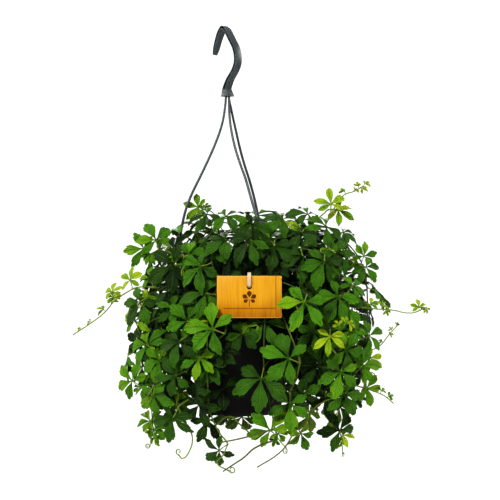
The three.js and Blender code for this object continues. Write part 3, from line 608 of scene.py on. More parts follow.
stemSways = bothWays([  # sideways, upward, and round the pot at the foot
    (0, 0, 0), (6, 3, 0), (11, 8, 4), (4, 14, 0), (16, 2, 8), (20, 16, 12), (8, -8, 0), (0, 24, 0),
    (28, 8, 16), (4, 4, 25), (4, 4, 40),
])
leafSways = bothWays([  # roll, pitch, yaw, lift, and the share of the size that is kept
    (0, 0, 0, 0), (14, 0, 0, 0), (0, 15, 0, 2), (0, -15, 0, 2), (0, 0, 16, 0), (26, 8, 0, 4),
    (0, 24, 18, 6), (16, -22, 0, 8), (0, 10, 0, 12), (30, 0, 20, 12), (0, 34, 0, 16), (40, -10, 0, -8),
    (20, 40, 10, 20), (0, -30, 0, 20), (60, 10, 20, 5), (0, 10, 30, 24), (45, 45, 0, 14), (80, 20, 0, 0),
    (0, 0, 0, 0, 0.75), (20, 10, 0, 4, 0.75), (10, 0, 25, 8, 0.75), (30, -15, 0, -6, 0.75),
    (0, 35, 0, 14, 0.75), (0, -20, 0, -8, 0.7), (45, 20, 20, 10, 0.7), (0, 20, 0, 24, 0.7),
    (0, -10, 0, -14, 0.6),
])


def fromView(u, v, y):  # the point at depth y that a pixel shows
    x = view["middle"].x + (u - view["centre"]) * view["pixel"]
    z = view["middle"].z + (view["centre"] - v) * view["pixel"]
    return view["point"].lerp(Vector((x, 0, z)), 1 - y / view["point"].y)


def toView(point):  # the pixel that shows a point
    toPoint = point - view["point"]
    flat = view["point"] + toPoint * (-view["point"].y / toPoint.y)
    return (view["centre"] + (flat.x - view["middle"].x) / view["pixel"],
            view["centre"] - (flat.z - view["middle"].z) / view["pixel"])


def bushDepth(u, v):
    flat = fromView(u, v, bush["front"]) - bush["centre"]
    left = 1 - (flat.x / bush["radii"].x) ** 2 - (flat.z / bush["radii"].z) ** 2
    return -bush["radii"].y * math.sqrt(max(left, 0.01))


def outwardAt(point):
    away = point - bush["centre"]
    return Vector([a / r / r for a, r in zip(away, bush["radii"])]).normalized()


def anyWay(seed, *numbers):  # a short vector that chance points anywhere
    return Vector([draw(seed, number) - 0.5 for number in numbers])


def plannedLeaf(hub, normal, ahead, size, seed, tone):
    ahead = (ahead - normal * ahead.dot(normal)).normalized()
    reach = size * leafPlan["stalkShare"] + leafPlan["stalkReach"]
    foot = hub - ahead * reach - normal * leafPlan["stalkDepth"]
    return {"hub": hub, "normal": normal, "ahead": ahead, "size": size, "seed": seed, "foot": foot,
            "fold": between(*leafPlan["folds"], draw(seed, 1)),
            "droop": between(*leafPlan["droops"], draw(seed, 2)), "tone": tone}


def viewedLeaf(row, seed, tone):
    u, v, angle, size, back, leans = row + (0, 1)[len(row) - 4:]
    hub = fromView(u, v, bushDepth(u, v) + back)
    outward = outwardAt(hub)
    rise, least = facing["skyRise"]
    skyward = between(*facing["sky"], max(0, outward.z * rise - least))
    skyward *= between(facing["skyLeast"], 1, leans)
    sway = Vector((draw(seed, 3) - 0.5, 0, draw(seed, 4) - 0.5)) * facing["sway"]
    turn = Vector((0, between(*facing["viewer"], leans), skyward))
    normal = (outward * facing["outward"] * leans + turn + sway).normalized()
    ahead = Vector((math.cos(math.radians(angle)), 0, math.sin(math.radians(angle))))
    return plannedLeaf(hub, normal, ahead, size * facing["grows"], seed, tone)


def eggPoint(azimuth, height, share):
    a, h = math.radians(azimuth), math.radians(height)
    onBall = (math.cos(a) * math.cos(h), math.sin(a) * math.cos(h), math.sin(h))
    return Vector([c * r * share for c, r in zip(onBall, bush["radii"])]) + bush["centre"]


def ruledLeaf(azimuth, height, size, turn, seed):
    top, low = ruled["top"], ruled["low"]
    share = between(*ruled["shares"], draw(seed, 5)) - (top["sinks"] if height > top["above"] else 0)
    hub = eggPoint(azimuth, height, share)
    outward = outwardAt(hub)
    normal = (outward + Vector((0, 0, ruled["sky"])) + anyWay(seed, 3, 6, 4) * ruled["sway"]).normalized()
    downhill = Vector((outward.x, outward.y, ruled["downhill"])).normalized()
    tone = between(*ruled["tones"], draw(seed, 21)) + (low["paler"] if height < low["below"] else 0)
    return plannedLeaf(hub, normal, turned(downhill, normal, turn), size, seed, tone)


def ruledVine(group, i, seed):
    azimuth = between(group["from"], group["to"], i / (group["count"] - 1))
    leaves = []
    for k, height in enumerate(group["heights"]):
        side = 1 if (i + k) % 2 else -1
        size = between(*ruled["sizes"], k / 4) * between(*ruled["growth"], draw(seed + k, 7))
        turn = side * between(*ruled["turns"], draw(seed + k, 8))
        level = height + between(*ruled["rises"], draw(seed + k, 9))
        leaves.append(ruledLeaf(azimuth + side * ruled["aside"], level, size, turn, seed + k))
    foot = onCircle(group["footRadius"], azimuth + ruled["aside"]).xy
    return {"foot": foot, "leaves": leaves}


def allVines():
    vines = []
    for i, vine in enumerate(frontVines):
        leaves = [viewedLeaf(row, 10 * i + k, vine["tones"][k]) for k, row in enumerate(vine["leaves"])]
        vines.append({**vine, "leaves": leaves})
    for number, group in enumerate(ruledGroups):
        first = seeds["ruled"] + 100 * number
        vines += [ruledVine(group, i, first + 10 * i) for i in range(group["count"])]
    return vines


def stemBends(vine, sway):  # the foot, the points that the stem bends through, and which bear a leaf
    sideways, upward, footTurn = sway
    top, hanging, standing = stemPlan["soilTop"], stemPlan["hanging"], stemPlan["standing"]
    foot = turned(Vector((*vine["foot"], top - stemPlan["footDepth"])), Vector((0, 0, 1)), footTurn)
    nodes = [leaf["foot"] for leaf in vine["leaves"]]
    toFirst = nodes[0] - foot
    toFirst.z = 0
    crossways = Vector((-toFirst.y, toFirst.x, 0)).normalized()
    hangs = nodes[0].z < hanging["below"]
    crest = foot + toFirst * (hanging if hangs else standing)["crestAt"] + crossways * sideways
    crest.z = (hanging["crest"] if hangs else between(top, nodes[0].z, standing["crest"])) + upward
    over = [Vector((*vine["over"], hanging["over"] + upward))] if "over" in vine else []
    through = [Vector(p) for p in vine["through"]] if "through" in vine else [crest, *over]
    shoot = [fromView(*p) for p in vine.get("shoot", [])]
    firstNode = 1 + len(through)
    bends = [Vector((foot.x, foot.y, top + stemPlan["collar"])), *through, *nodes, *shoot]
    return foot, bends, range(firstNode, firstNode + len(nodes))


def stemLine(vine, sway):  # the stem's points, and which of them a leaf grows from
    foot, bends, leafy = stemBends(vine, sway)
    line, joints = [foot], []
    for i, bend in enumerate(bends):
        onward = pointAlong(bends, (i + 0.5) / (len(bends) - 1))
        isLast = i + 1 == len(bends)
        line.append(bend)
        if i in leafy:
            joints.append(len(line) - 1)
            ahead = bend * 2 - bends[i - 1] if isLast else onward
            line.append(bend + (ahead - bend).normalized() * stemPlan["jointLength"])
        if not isLast and (bend - bends[i + 1]).length > stemPlan["longSpan"]:
            line.append(onward)
    return line, joints


def stemRadius(share):
    return stemPlan["radius"] * between(*stemPlan["taper"], share)


def stemCorners(line):  # the corners of the solid stem's rings
    across = Vector((1, 0, 0))
    corners = []
    for i, point in enumerate(line):
        tangent = (line[min(i + 1, len(line) - 1)] - line[max(i - 1, 0)]).normalized()
        across = (across - tangent * across.dot(tangent)).normalized()
        sideways = tangent.cross(across)
        for side in range(stemPlan["solidSides"]):
            angle = 2 * math.pi * side / stemPlan["solidSides"]
            reach = across * math.cos(angle) + sideways * math.sin(angle)
            corners.append(point + reach * stemRadius(i / (len(line) - 1)))
    return corners


def swayedLeaf(leaf, sway):
    roll, pitch, yaw, lift, share = (*sway, 1)[:5]
    side = leaf["normal"].cross(leaf["ahead"])
    normal = turned(turned(leaf["normal"], side, pitch), leaf["ahead"], yaw)
    ahead = (leaf["ahead"] - normal * leaf["ahead"].dot(normal)).normalized()
    ahead = turned(ahead, normal, roll)
    return {**leaf, "hub": leaf["hub"] + leaf["normal"] * lift, "ahead": ahead,
            "left": normal.cross(ahead), "normal": normal, "size": leaf["size"] * share}


def leafTips(leaf):
    tips = []
    for angle, length in zip(leafPlan["angles"], leafPlan["lengths"]):
        a, reach = math.radians(angle), leaf["size"] * length
        flat = leaf["ahead"] * math.cos(a) + leaf["left"] * math.sin(a)
        tips.append(leaf["hub"] + flat * reach - leaf["normal"] * leaf["droop"] * reach)
    return tips


def treeOf(node):
    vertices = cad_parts[node].data.vertices
    tree = KDTree(len(vertices))
    for i, vertex in enumerate(vertices):
        tree.insert(vertex.co, i)
    tree.balance()
    return tree


def isThere(tree, points):  # whether the solid has a corner at each of the points
    return all(tree.find(inRow(point))[2] < 0.1 * mm for point in points)


def grownVine(vine, node):  # the vine as its node has it: the stem's sway and each leaf's are found again
    tree = treeOf(node)
    stems = [stemLine(vine, sway) for sway in stemSways]
    line, joints = next((stem for stem in stems if isThere(tree, stemCorners(stem[0]))), stems[0])
    leaves = []
    for leaf, joint in zip(vine["leaves"], joints):
        swayed = [swayedLeaf(leaf, sway) for sway in leafSways]
        found = [s for s in swayed if isThere(tree, leafTips(s))]
        leaves += [{**s, "root": line[joint]} for s in found[:1]]
    return {**vine, "node": node, "line": line, "joints": joints, "leaves": leaves}


vines = [grownVine(vine, f"vine_{number}") for number, vine in enumerate(allVines(), 1)]
print("vines found again:", len(vines), "with", sum(len(v["leaves"]) for v in vines), "leaves")

# Leaflets: one is modelled flat, 1 long, and every leaflet of the plant is a shaped copy of it
leafletForm = {  # ranges of size, and how far chance and growth bend a leaflet, in shares of its length
    "lengths": (0.9, 1.02),
    "widths": (0.78, 1.06),
    "toothFrom": 0.6,
    "joined": {"from": 0.98, "within": 0.01},  # the tip's corners
    "sweep": 0.04,
    "sideBend": 0.2,
    "fold": (0.18, 0.45),
    "wave": {"height": 0.045, "turns": 9, "start": 12, "halfWidth": 0.27},
    "tip": {"from": 0.66, "bend": 0.5, "moreBend": 1.1},
    "lift": 0.22,
    "twist": 0.75,
    "spread": 16,
    "weight": (0.02, 0.14),
    "tint": 0.3,
    "tipTint": 0.05,
}
youngLeaf = {"under": 13, "palerThan": 0.72, "leaflets": (1, 2, 3)}


def modelLeaflet(name, plan):
    rows = plan["rows"]
    bpy.ops.mesh.primitive_grid_add(x_subdivisions=len(rows) - 1, y_subdivisions=plan["columns"] - 1,
                                    size=2)
    leaflet = bpy.context.active_object
    leaflet.name = name
    leaflet.data.uv_layers[0].name = "leafMap"
    toothAt = {row: (out, ahead) for row, out, ahead in plan["teeth"]}
    for vertex in leaflet.data.vertices:
        row = round((vertex.co.x + 1) / 2 * (len(rows) - 1))
        across = vertex.co.y
        out, ahead = toothAt.get(row, (0, 0))
        share = max(0, (abs(across) - leafletForm["toothFrom"]) / (1 - leafletForm["toothFrom"]))
        sweep = leafletForm["sweep"] * across * across * math.sin(math.pi * rows[row])  # towards the tip
        vertex.co.x = rows[row] + ahead * share + sweep
        vertex.co.y = across * plan["halfWidths"][row] + math.copysign(out * share, across)
    startEditing(leaflet)
    pick(leaflet, lambda place: place.x > leafletForm["joined"]["from"])
    bpy.ops.mesh.remove_doubles(threshold=leafletForm["joined"]["within"])
    stopEditing()
    for material in (leafTop, leafUnder):
        leaflet.data.materials.append(material)
    leaflet.data.attributes.new("tint", "FLOAT", "POINT")
    return leaflet


def flatPlaces(leaflet):
    flat = np.zeros(len(leaflet.data.vertices) * 3)
    leaflet.data.vertices.foreach_get("co", flat)
    return flat.reshape(-1, 3)


masters = {name: modelLeaflet(name, plan) for name, plan in leaflets.items()}
flatShapes = {name: flatPlaces(leaflet) for name, leaflet in masters.items()}


def bentLeaflet(kind, leaf, length, chance):  # a leaflet along x, with its fold, waves and droop
    t, w, _ = flatShapes[kind].T
    wave, tip, (fold, moreFold) = leafletForm["wave"], leafletForm["tip"], leafletForm["fold"]
    y = w * length * between(*leafletForm["widths"], 0.5 + chance[1])
    y += leafletForm["sideBend"] * chance[2] * length * t * t
    edge = (w / wave["halfWidth"]) ** 2
    z = (leaf["fold"] + fold + moreFold * chance[8]) * np.abs(y) - leaf["droop"] * length * t * t
    rise = wave["height"] * np.sin(wave["turns"] * t + wave["start"] * chance[3]) * edge
    z += length * (rise - wave["height"] * edge * edge)
    z -= length * (tip["bend"] + tip["moreBend"] * chance[4]) * np.maximum(0, t - tip["from"]) ** 2
    z += leafletForm["lift"] * chance[9] * length * t * t
    twist = leafletForm["twist"] * chance[5] * t
    y, z = y * np.cos(twist) - z * np.sin(twist), z * np.cos(twist) + y * np.sin(twist)
    return t, t * length, y, z


def shapedLeaflet(kind, leaf, number):  # a copy of the leaflet in its place on the leaf
    chance = [draw(leaf["seed"] * 7 + number, k) - 0.5 for k in range(30, 40)]
    length = leaf["size"] * leafPlan["lengths"][number] * between(*leafletForm["lengths"], 0.5 + chance[0])
    t, x, y, z = bentLeaflet(kind, leaf, length, chance)
    angle = math.radians(leafPlan["angles"][number] + leafletForm["spread"] * chance[6])
    ahead, left, normal = [np.array(leaf[way]) for way in ("ahead", "left", "normal")]
    forward = ahead * math.cos(angle) + left * math.sin(angle)
    sideways = left * math.cos(angle) - ahead * math.sin(angle)
    places = np.array(leaf["hub"]) + np.outer(x, forward) + np.outer(y, sideways) + np.outer(z, normal)
    places[:, 2] -= between(*leafletForm["weight"], 0.5 + chance[0]) * length * t * t
    copy = copyOf(masters[kind])
    copy.data.vertices.foreach_set("co", places.ravel())
    tint = leaf["tone"] + leafletForm["tint"] * chance[7] + leafletForm["tipTint"] * t
    copy.data.attributes["tint"].data.foreach_set("value", np.clip(tint, 0, 1))
    copy.data.update()
    return copy


def leafCopies(leaf):
    small = leaf["size"] < youngLeaf["under"]
    kind = leaf.get("kind", "young" if small or leaf["tone"] > youngLeaf["palerThan"] else "mature")
    numbers = youngLeaf["leaflets"] if small else range(len(leafPlan["angles"]))
    return [shapedLeaflet(kind, leaf, number) for number in numbers]


# What grows between the planned leaves
infill = [  # an outer layer between the planned leaves, and a dark one inside it; their low tones are painted shade
    {"kind": "mature", "tries": 760, "spacing": 20, "reach": 78, "sizes": (20, 31), "shares": (0.7, 0.9),
     "tones": (0, 0.3)},
    {"kind": "inner", "tries": 800, "spacing": 17, "reach": 95, "sizes": (26, 36), "shares": (0.35, 0.7),
     "tones": (0, 0.03)},
]
infillPlan = {
    "spiral": 137.508,  # degrees from one try to the next
    "heights": (-0.62, 0.96),  # sines of the angle above the middle
    "outside": {"radius": 84, "above": 12},  # of the pot
    "stalk": {"least": 12, "above": -120, "bare": 3},
    "sky": 0.4,
    "sway": 1.7,
    "outward": 0.3,
    "rolls": (-25, 25),
    "clearance": 0.8,  # of a leaf's size
}
keptClear = [  # u, v boxes in the picture, and how far forward an infill leaf may stand there
    (212, 270, 290, 325, -88),  # the label
    (246, 352, 262, 412, 10),  # the pot's front
    (176, 60, 262, 226, 200),  # between the arms
]
sprout = {
    "atEnds": ((0.4, 15), (1, 10)),  # share of the last stretch, and size
    "fold": 0.25,
    "outward": 0.4,
    "viewer": -0.9,
    "stalk": 0.3,
    "shift": Vector((0, -1, 1)),
    "aside": (0.5, 1.2),
    "tones": (0.5, 0.9),
}
trailPlan = {"radius": 1.15, "share": 0.75}
tendrilPlan = {
    "radius": 0.65,
    "taper": (1.2, 0.5),
    "length": 20,
    "bend": 0.12,
    "steps": 5,
    "curl": 3.6,
    "curls": (0.7, 1.2),
    "turns": (1.1, 1.9),
    "tightens": (1, 0.3),
    "climb": 0.25,
    "curlSteps": 12,
    "chance": 0.22,
    "drop": -0.4,
    "aside": 0.7,
    "atEnd": {"length": 4, "thicker": 1.3},
}
stalkPlan = {
    "radius": 0.68,
    "taper": (1.25, 0.85, 1.5),
    "thickness": (0.55, 1.1),  # from the smallest leaf's to a full one's
    "fullSize": 34,
    "bendAt": 0.55,
    "back": 0.04,
    "down": 0.1,
    "under": 0.25,
}


def isKeptClear(hub, size):
    u, v = toView(hub)
    reach = infillPlan["clearance"] * size / view["pixel"]
    for left, top, right, bottom, front in keptClear:
        if hub.y < front and left - reach < u < right + reach and top - reach < v < bottom + reach:
            return True
    return False


def isInfillPlace(hub, size, hubs, spacing):
    if any((hub - other).length < spacing for other in hubs) or isKeptClear(hub, size):
        return False
    outside = infillPlan["outside"]
    return math.hypot(hub.x, hub.y) > outside["radius"] or hub.z > outside["above"]


def nearestStem(hub, farthest):  # how far it is, the vine, and the place on it that a stalk may grow from
    plan, best = infillPlan["stalk"], None
    for vine in vines:
        for point in vine["line"][plan["bare"]:-1]:
            away = (point - hub).length
            nearer = best is None or away < best[0]
            if nearer and plan["least"] < away < farthest and point.z > plan["above"]:
                best = (away, vine, point)
    return best


def infillLeaf(i, hub, size, root, tones):
    outward = outwardAt(hub)
    lean = anyWay(i, 64, 65, 66) * infillPlan["sway"]
    normal = (outward + Vector((0, 0, infillPlan["sky"])) + lean).normalized()
    ahead = (hub - root).normalized() + outward * infillPlan["outward"]
    tone = between(*tones, draw(i, 67))
    leaf = plannedLeaf(hub, normal, ahead, size, seeds["infill"] + i, tone)
    return swayedLeaf(leaf, (between(*infillPlan["rolls"], draw(i, 68)), 0, 0, 0))


def growInfill(layer, number, hubs):
    before = len(hubs)
    for i in range(1000 * number, 1000 * number + layer["tries"]):
        height = math.degrees(math.asin(between(*infillPlan["heights"], draw(i, 61))))
        hub = eggPoint(infillPlan["spiral"] * i, height, between(*layer["shares"], draw(i, 62)))
        size = between(*layer["sizes"], draw(i, 63))
        if not isInfillPlace(hub, size, hubs, layer["spacing"]):
            continue
        stem = nearestStem(hub, layer["reach"])
        if stem:
            leaf = infillLeaf(i, hub, size, stem[2], layer["tones"])
            stem[1]["leaves"].append({**leaf, "root": stem[2], "kind": layer["kind"]})
            hubs.append(hub)
    print("infill leaves:", len(hubs) - before)


def nearestOn(line, point, steps=60):  # the place on a line that looks nearest to a pixel
    places = [pointAlong(line, s / steps) for s in range(steps + 1)]
    return min(places, key=lambda place: math.dist(toView(place), point))


def sproutLeaf(root, ahead, size, seed, tone):  # a small leaf that faces forward, with three leaflets
    turn = Vector((draw(seed, 72) - 0.5, sprout["viewer"], draw(seed, 73)))
    normal = (outwardAt(root) * sprout["outward"] + turn).normalized()
    hub = root + ahead * size * sprout["stalk"] + sprout["shift"]
    leaf = {**swayedLeaf(plannedLeaf(hub, normal, ahead, size, seed, tone), leafSways[0]), "root": root}
    leaf["fold"] += sprout["fold"]
    return leaf


def growYoung(vine, number):  # the young leaves of a shoot, or of a stem's end
    shoot = vine["line"][vine["joints"][-1] - (0 if "shoot" in vine else 1):]
    for k, (u, v, angle, size) in enumerate(vine.get("young", [])):
        a = math.radians(angle)
        root = nearestOn(shoot, (u, v))
        ahead = Vector((math.cos(a), 0, math.sin(a)))
        seed = seeds["young"] + 40 * number + k
        vine["leaves"].append(sproutLeaf(root, ahead, size, seed, vine["tones"][-1]))
    for k, (share, size) in enumerate(() if "shoot" in vine else sprout["atEnds"]):
        root = pointAlong(shoot, share)
        seed = seeds["ends"] + 40 * number + k
        onward = (shoot[-1] - shoot[0]).normalized()
        sideways = onward.cross(outwardAt(root)).normalized() * (1 if k % 2 else -1)
        ahead = (onward + sideways * between(*sprout["aside"], draw(seed, 71))).normalized()
        tone = between(*sprout["tones"], draw(seed, 74))
        vine["leaves"].append(sproutLeaf(root, ahead, size, seed, tone))


def tendril(root, way, seed, length=tendrilPlan["length"]):  # a thin thread that ends in a flat curl
    across = way.cross(Vector((0, 0, 1))).normalized() * (1 if draw(seed, 83) > 0.5 else -1)
    over = across.cross(way)
    steps, curlSteps = tendrilPlan["steps"], tendrilPlan["curlSteps"]
    points = [root + way * length * s / steps - over * length * tendrilPlan["bend"] * (s / steps) ** 2
              for s in range(steps + 1)]
    turns = between(*tendrilPlan["turns"], draw(seed, 82))
    curl = tendrilPlan["curl"] * between(*tendrilPlan["curls"], draw(seed, 81))
    centre = points[-1] + over * curl
    for step in range(1, curlSteps + 1):
        angle = 2 * math.pi * turns * step / curlSteps
        reach = curl * between(*tendrilPlan["tightens"], step / curlSteps)
        spoke = way * math.sin(angle) - over * math.cos(angle)
        points.append(centre + spoke * reach + across * step * tendrilPlan["climb"])
    shares = [between(*tendrilPlan["taper"], i / (len(points) - 1)) for i in range(len(points))]
    return points, [tendrilPlan["radius"] * share for share in shares]


def tendrilsOf(vine, number):
    rods = []
    for k, joint in enumerate(vine["joints"]):
        seed = seeds["tendrils"] + 10 * number + k
        if draw(seed, 84) < tendrilPlan["chance"]:
            root = vine["line"][joint]
            aside = vine["leaves"][0]["left"] * tendrilPlan["aside"]
            way = (outwardAt(root) + Vector((0, 0, tendrilPlan["drop"])) + aside).normalized()
            rods.append(tendril(root, way, seed))
    if vine.get("curls"):
        end, before, plan = vine["line"][-1], vine["line"][-2], tendrilPlan["atEnd"]
        points, radii = tendril(end, (end - before).normalized(), number, plan["length"])
        rods.append((points, [plan["thicker"] * radius for radius in radii]))
    return rods


def stalk(leaf):
    root, hub = leaf["root"], leaf["hub"]
    length = (hub - root).length
    under = hub - leaf["normal"] * stalkPlan["under"]
    middle = root.lerp(hub, stalkPlan["bendAt"]) - leaf["ahead"] * stalkPlan["back"] * length
    middle -= leaf["normal"] * stalkPlan["down"] * length
    growth = between(*stalkPlan["thickness"], min(1, leaf["size"] / stalkPlan["fullSize"]))
    thick = stalkPlan["radius"] * growth
    return [root, middle, under], [thick * share for share in stalkPlan["taper"]]


def stemRod(vine):
    line, joints = vine["line"], vine["joints"]
    radii = [stemPlan["roundShare"] * stemRadius(i / (len(line) - 1)) for i in range(len(line))]
    if "shoot" in vine:
        least = stemPlan["shoot"] if "young" in vine else trailPlan["radius"] * trailPlan["share"]
        radii = [max(radius, least) for radius in radii]
    for joint in joints:
        radii[joint] *= stemPlan["knot"]
    return line, radii


def trailRod(vine, trail):  # a bare stem that runs on from the vine's own
    points = [nearestOn(vine["line"], trail[0][:2])] + [fromView(*spot) for spot in trail]
    last = len(points) - 1
    return points, [trailPlan["radius"] * between(1, trailPlan["share"], i / last) for i in range(last + 1)]


def barkOf(vine):
    # old stems have the dark bark; the stem that the tag's tie hangs from gets it too, as painted shade
    if "shoot" not in vine or "through" in vine:
        return oldAndShadedStem
    return youngStem if "young" in vine or "curls" in vine else trailStem


def stemsOf(name, rods, bark):
    stems = rodsOf(name, rods)
    stems.data.materials.append(bark)
    return stems


def modelVine(vine, number):
    copies = [copy for leaf in vine["leaves"] for copy in leafCopies(leaf)]
    leaves = joinAll(copies, vine["node"] + "_leaves")
    applyModifier(leaves, "SOLIDIFY", thickness=leafPlan["thickness"], offset=-1, material_offset=1,
                  use_rim=True)
    stem = stemsOf("stem", [stemRod(vine)], barkOf(vine))
    if "trails" in vine:
        trails = stemsOf("trails", [trailRod(vine, trail) for trail in vine["trails"]], trailStem)
        stem = joinAll([stem, trails], "stem")
    thin = [stalk(leaf) for leaf in vine["leaves"] if "kind" not in leaf] + tendrilsOf(vine, number)
    shaded = [stalk(leaf) for leaf in vine["leaves"] if "kind" in leaf]
    parts = [leaves, stem]
    # the infill leaves' stalks, deep in the bush, get the dark bark as painted shade
    for rods, bark in ((thin, youngStem), (shaded, oldAndShadedStem)):
        parts += [stemsOf("stalks", rods, bark)] if rods else []
    finishPiece(joinAll(parts, vine["node"] + "_dressed"), [vine["node"]], smooth=50)


for number, vine in enumerate(vines):
    growYoung(vine, number)
hubs = [leaf["hub"] for vine in vines for leaf in vine["leaves"]]
for number, layer in enumerate(infill):
    growInfill(layer, number, hubs)
for number, vine in enumerate(vines):
    modelVine(vine, number)
for master in masters.values():
    bpy.data.objects.remove(master)
print("vines modelled")

# The pot
pot = {
    "sides": 96,
    "height": 120,
    "rim": 75,
    "foot": 50,
    "collar": -16,
    "lugs": [180, 60, -60],
    "lugTop": -0.3,
    "lugSize": (11, 15, 2.6),
    "lugReach": 3.5,
    "lugEdge": 0.6,
    "slot": 4.6,
    "armAt": 79,
    "drains": 6,
    "drainsAt": 28,
    "drainRadius": 4,
}


def potProfile():  # from the middle of the foot's underside, up the outside, over the rim and down inside
    rim, foot, bottom, collar = pot["rim"], pot["foot"], -pot["height"], pot["collar"]
    outside = [
        (foot - 8, bottom + 3), (foot - 6, bottom + 0.2), (foot - 5.4, bottom), (foot - 0.7, bottom),
        (foot, bottom + 0.7), (foot + 1.2, bottom + 5), (rim - 6.1, collar - 3), (rim - 5.4, collar - 1),
        (rim - 2.9, collar - 0.2), (rim - 2.4, collar + 0.5), (rim - 2, -4.4), (rim - 0.5, -3.4),
    ]
    edge = [(rim, -2.8), (rim, -0.7), (rim - 0.7, 0), (rim - 3, 0), (rim - 3.6, -0.6)]
    inside = [(rim - 4, collar + 1), (rim - 4.6, collar), (rim - 7.1, collar - 0.8),
              (foot - 1.6, bottom + 6), (foot - 3.4, bottom + 4.6)]
    return outside + edge + inside


def modelPot():
    body = pileRings("pot_dressed", pot["sides"], potProfile())
    lugHeight = pot["lugTop"] - pot["lugSize"][2] / 2
    for angle in pot["lugs"]:
        turn = math.radians(angle)
        lug = addBlock(pot["lugSize"], onCircle(pot["rim"] + pot["lugReach"], angle, lugHeight), turn)
        softenEdges(lug, pot["lugEdge"])
        cutWith(body, lug, "UNION")
        cutWith(body, addBlock((pot["slot"], pot["slot"], 10), onCircle(pot["armAt"], angle), turn))
    for hole in range(pot["drains"]):
        place = onCircle(pot["drainsAt"], 360 * (hole + 0.5) / pot["drains"], 2 - pot["height"])
        cutWith(body, addPeg(20, pot["drainRadius"], 12, place))
    body.data.materials.append(potPlastic)
    finishPiece(body, ["pot"], smooth=32)


modelPot()
print("pot modelled")

# The soil, with bark crumbs and white grains on it
soil = {
    "sides": 72,
    "radius": 58,
    "ringStep": 4,
    "top": -13,
    "slope": 0.02,
    "loose": -18,  # what lies higher is uneven
    "lumps": {"size": 9, "height": 5, "middle": 0.62},
    "crumbs": {"count": 150, "size": 1.2},
    "grains": {"count": 60, "size": 0.8},
    "sizes": (0.7, 1.7),
    "lengths": (0.7, 1.5),
    "flatness": (0.5, 0.9),
    "lift": 0.6,
    "spiral": 2.4,
}


def soilMaterial():
    material, shader, place = newMaterial("pottingSoil", Roughness=0.95)
    clods = place.noise(160, 5, 0.7)
    fine = place.noise(1400, 3)
    (clods * 0.7 + fine * 0.3).ramp((0.3, (0.006, 0.004, 0.003)), (0.62, (0.03, 0.019, 0.011)),
                                    (0.8, (0.07, 0.045, 0.025))).feeds(shader, "Base Color")
    (clods + fine * 0.5).bumps(shader, 0.9, 0.002)
    return material


def grainMaterial():
    material, shader, place = newMaterial("whiteGrain", Roughness=0.85)
    place.noise(900, 3).ramp((0.3, (0.5, 0.48, 0.42)), (0.7, (0.8, 0.79, 0.74))).feeds(shader, "Base Color")
    return material


def modelSoilBody():
    tops = [(soil["radius"] + 5, -19.5), (soil["radius"] + 2, -16.5)]
    radii = range(soil["radius"], 1, -soil["ringStep"])
    tops += [(radius, soil["top"] - soil["slope"] * radius) for radius in radii]
    foot = (pot["foot"] - 2, 4.9 - pot["height"])
    body = pileRings("soil_dressed", soil["sides"], [foot, (pot["rim"] - 8.2, -21), *tops])
    lumps = soil["lumps"]
    clouds = bpy.data.textures.new("clods", "CLOUDS")
    clouds.noise_scale = lumps["size"]
    group = body.vertex_groups.new(name="surface")
    surface = [vertex.index for vertex in body.data.vertices if vertex.co.z > soil["loose"]]
    group.add(surface, 1, "REPLACE")
    applyModifier(body, "DISPLACE", texture=clouds, strength=lumps["height"], mid_level=lumps["middle"],
                  vertex_group="surface", direction="Z", texture_coords="LOCAL")
    return body


def placeBit(bit, i, share):  # a crumb or a grain in its place on the soil
    reach = soil["radius"] * math.sqrt(draw(i, 91))
    size = between(*soil["sizes"], draw(i, 92)) * share
    angle = soil["spiral"] * i
    height = soil["top"] + soil["lift"] - soil["slope"] * reach
    bit.location = (reach * math.cos(angle), reach * math.sin(angle), height)
    length, flatness = between(*soil["lengths"], draw(i, 93)), between(*soil["flatness"], draw(i, 94))
    bit.scale = (size * length, size, size * flatness)
    bit.rotation_euler = (draw(i, 95), draw(i, 96), 6 * draw(i, 97))


def modelSoil():
    body = modelSoilBody()
    looks = {"crumbs": soilMaterial(), "grains": grainMaterial()}
    body.data.materials.append(looks["crumbs"])
    bpy.ops.mesh.primitive_ico_sphere_add(subdivisions=1, radius=1)
    crumb = bpy.context.active_object
    bits = [body]
    for i, kind in enumerate([kind for kind in looks for _ in range(soil[kind]["count"])]):
        bit = copyOf(crumb)
        placeBit(bit, i, soil[kind]["size"])
        bit.data.materials.append(looks[kind])
        bits.append(bit)
    bpy.data.objects.remove(crumb)
    finishPiece(joinAll(bits, "soil_dressed"), ["soil"], smooth=60)


modelSoil()
print("soil modelled")

# The hanger: a hook with a flared skirt and the three arms that stand in it
hook = {
    "foot": Vector((-15, 0, 274)),
    "turn": -45,
    "steps": 66,
    "middleLine": [(-2, 7), (-1.4, 11), (3.9, 21), (14, 33.5), (17.6, 44.8), (14.8, 58.5), (7, 71),
                   (-0.5, 82), (-6, 86.6), (-11.5, 82), (-17.2, 71), (-23.5, 53.5)],
    "halfWidth": {"foot": 5.2, "tip": 4, "narrowsFrom": 0.85},
    "halfDepth": {"foot": 3.9, "tip": 2.4, "slimBy": 0.22},
    "blunt": {"from": 0.95, "share": 0.72},
    "web": 0.9,
    "flange": 1.3,
    "crown": 0.4,
    "crownShare": 0.4,
    "skirt": [(-7.4, 6.5, 5.7, 0), (-7.2, 6, 5.6, 1.2), (-7, 5.2, 5.5, 2.6), (-6, 2.1, 4.8, 9.5)],
    "socket": 2.1,
    "edges": {"bar": 0.3, "skirt": 0.8},
    "weld": 0.02,
}
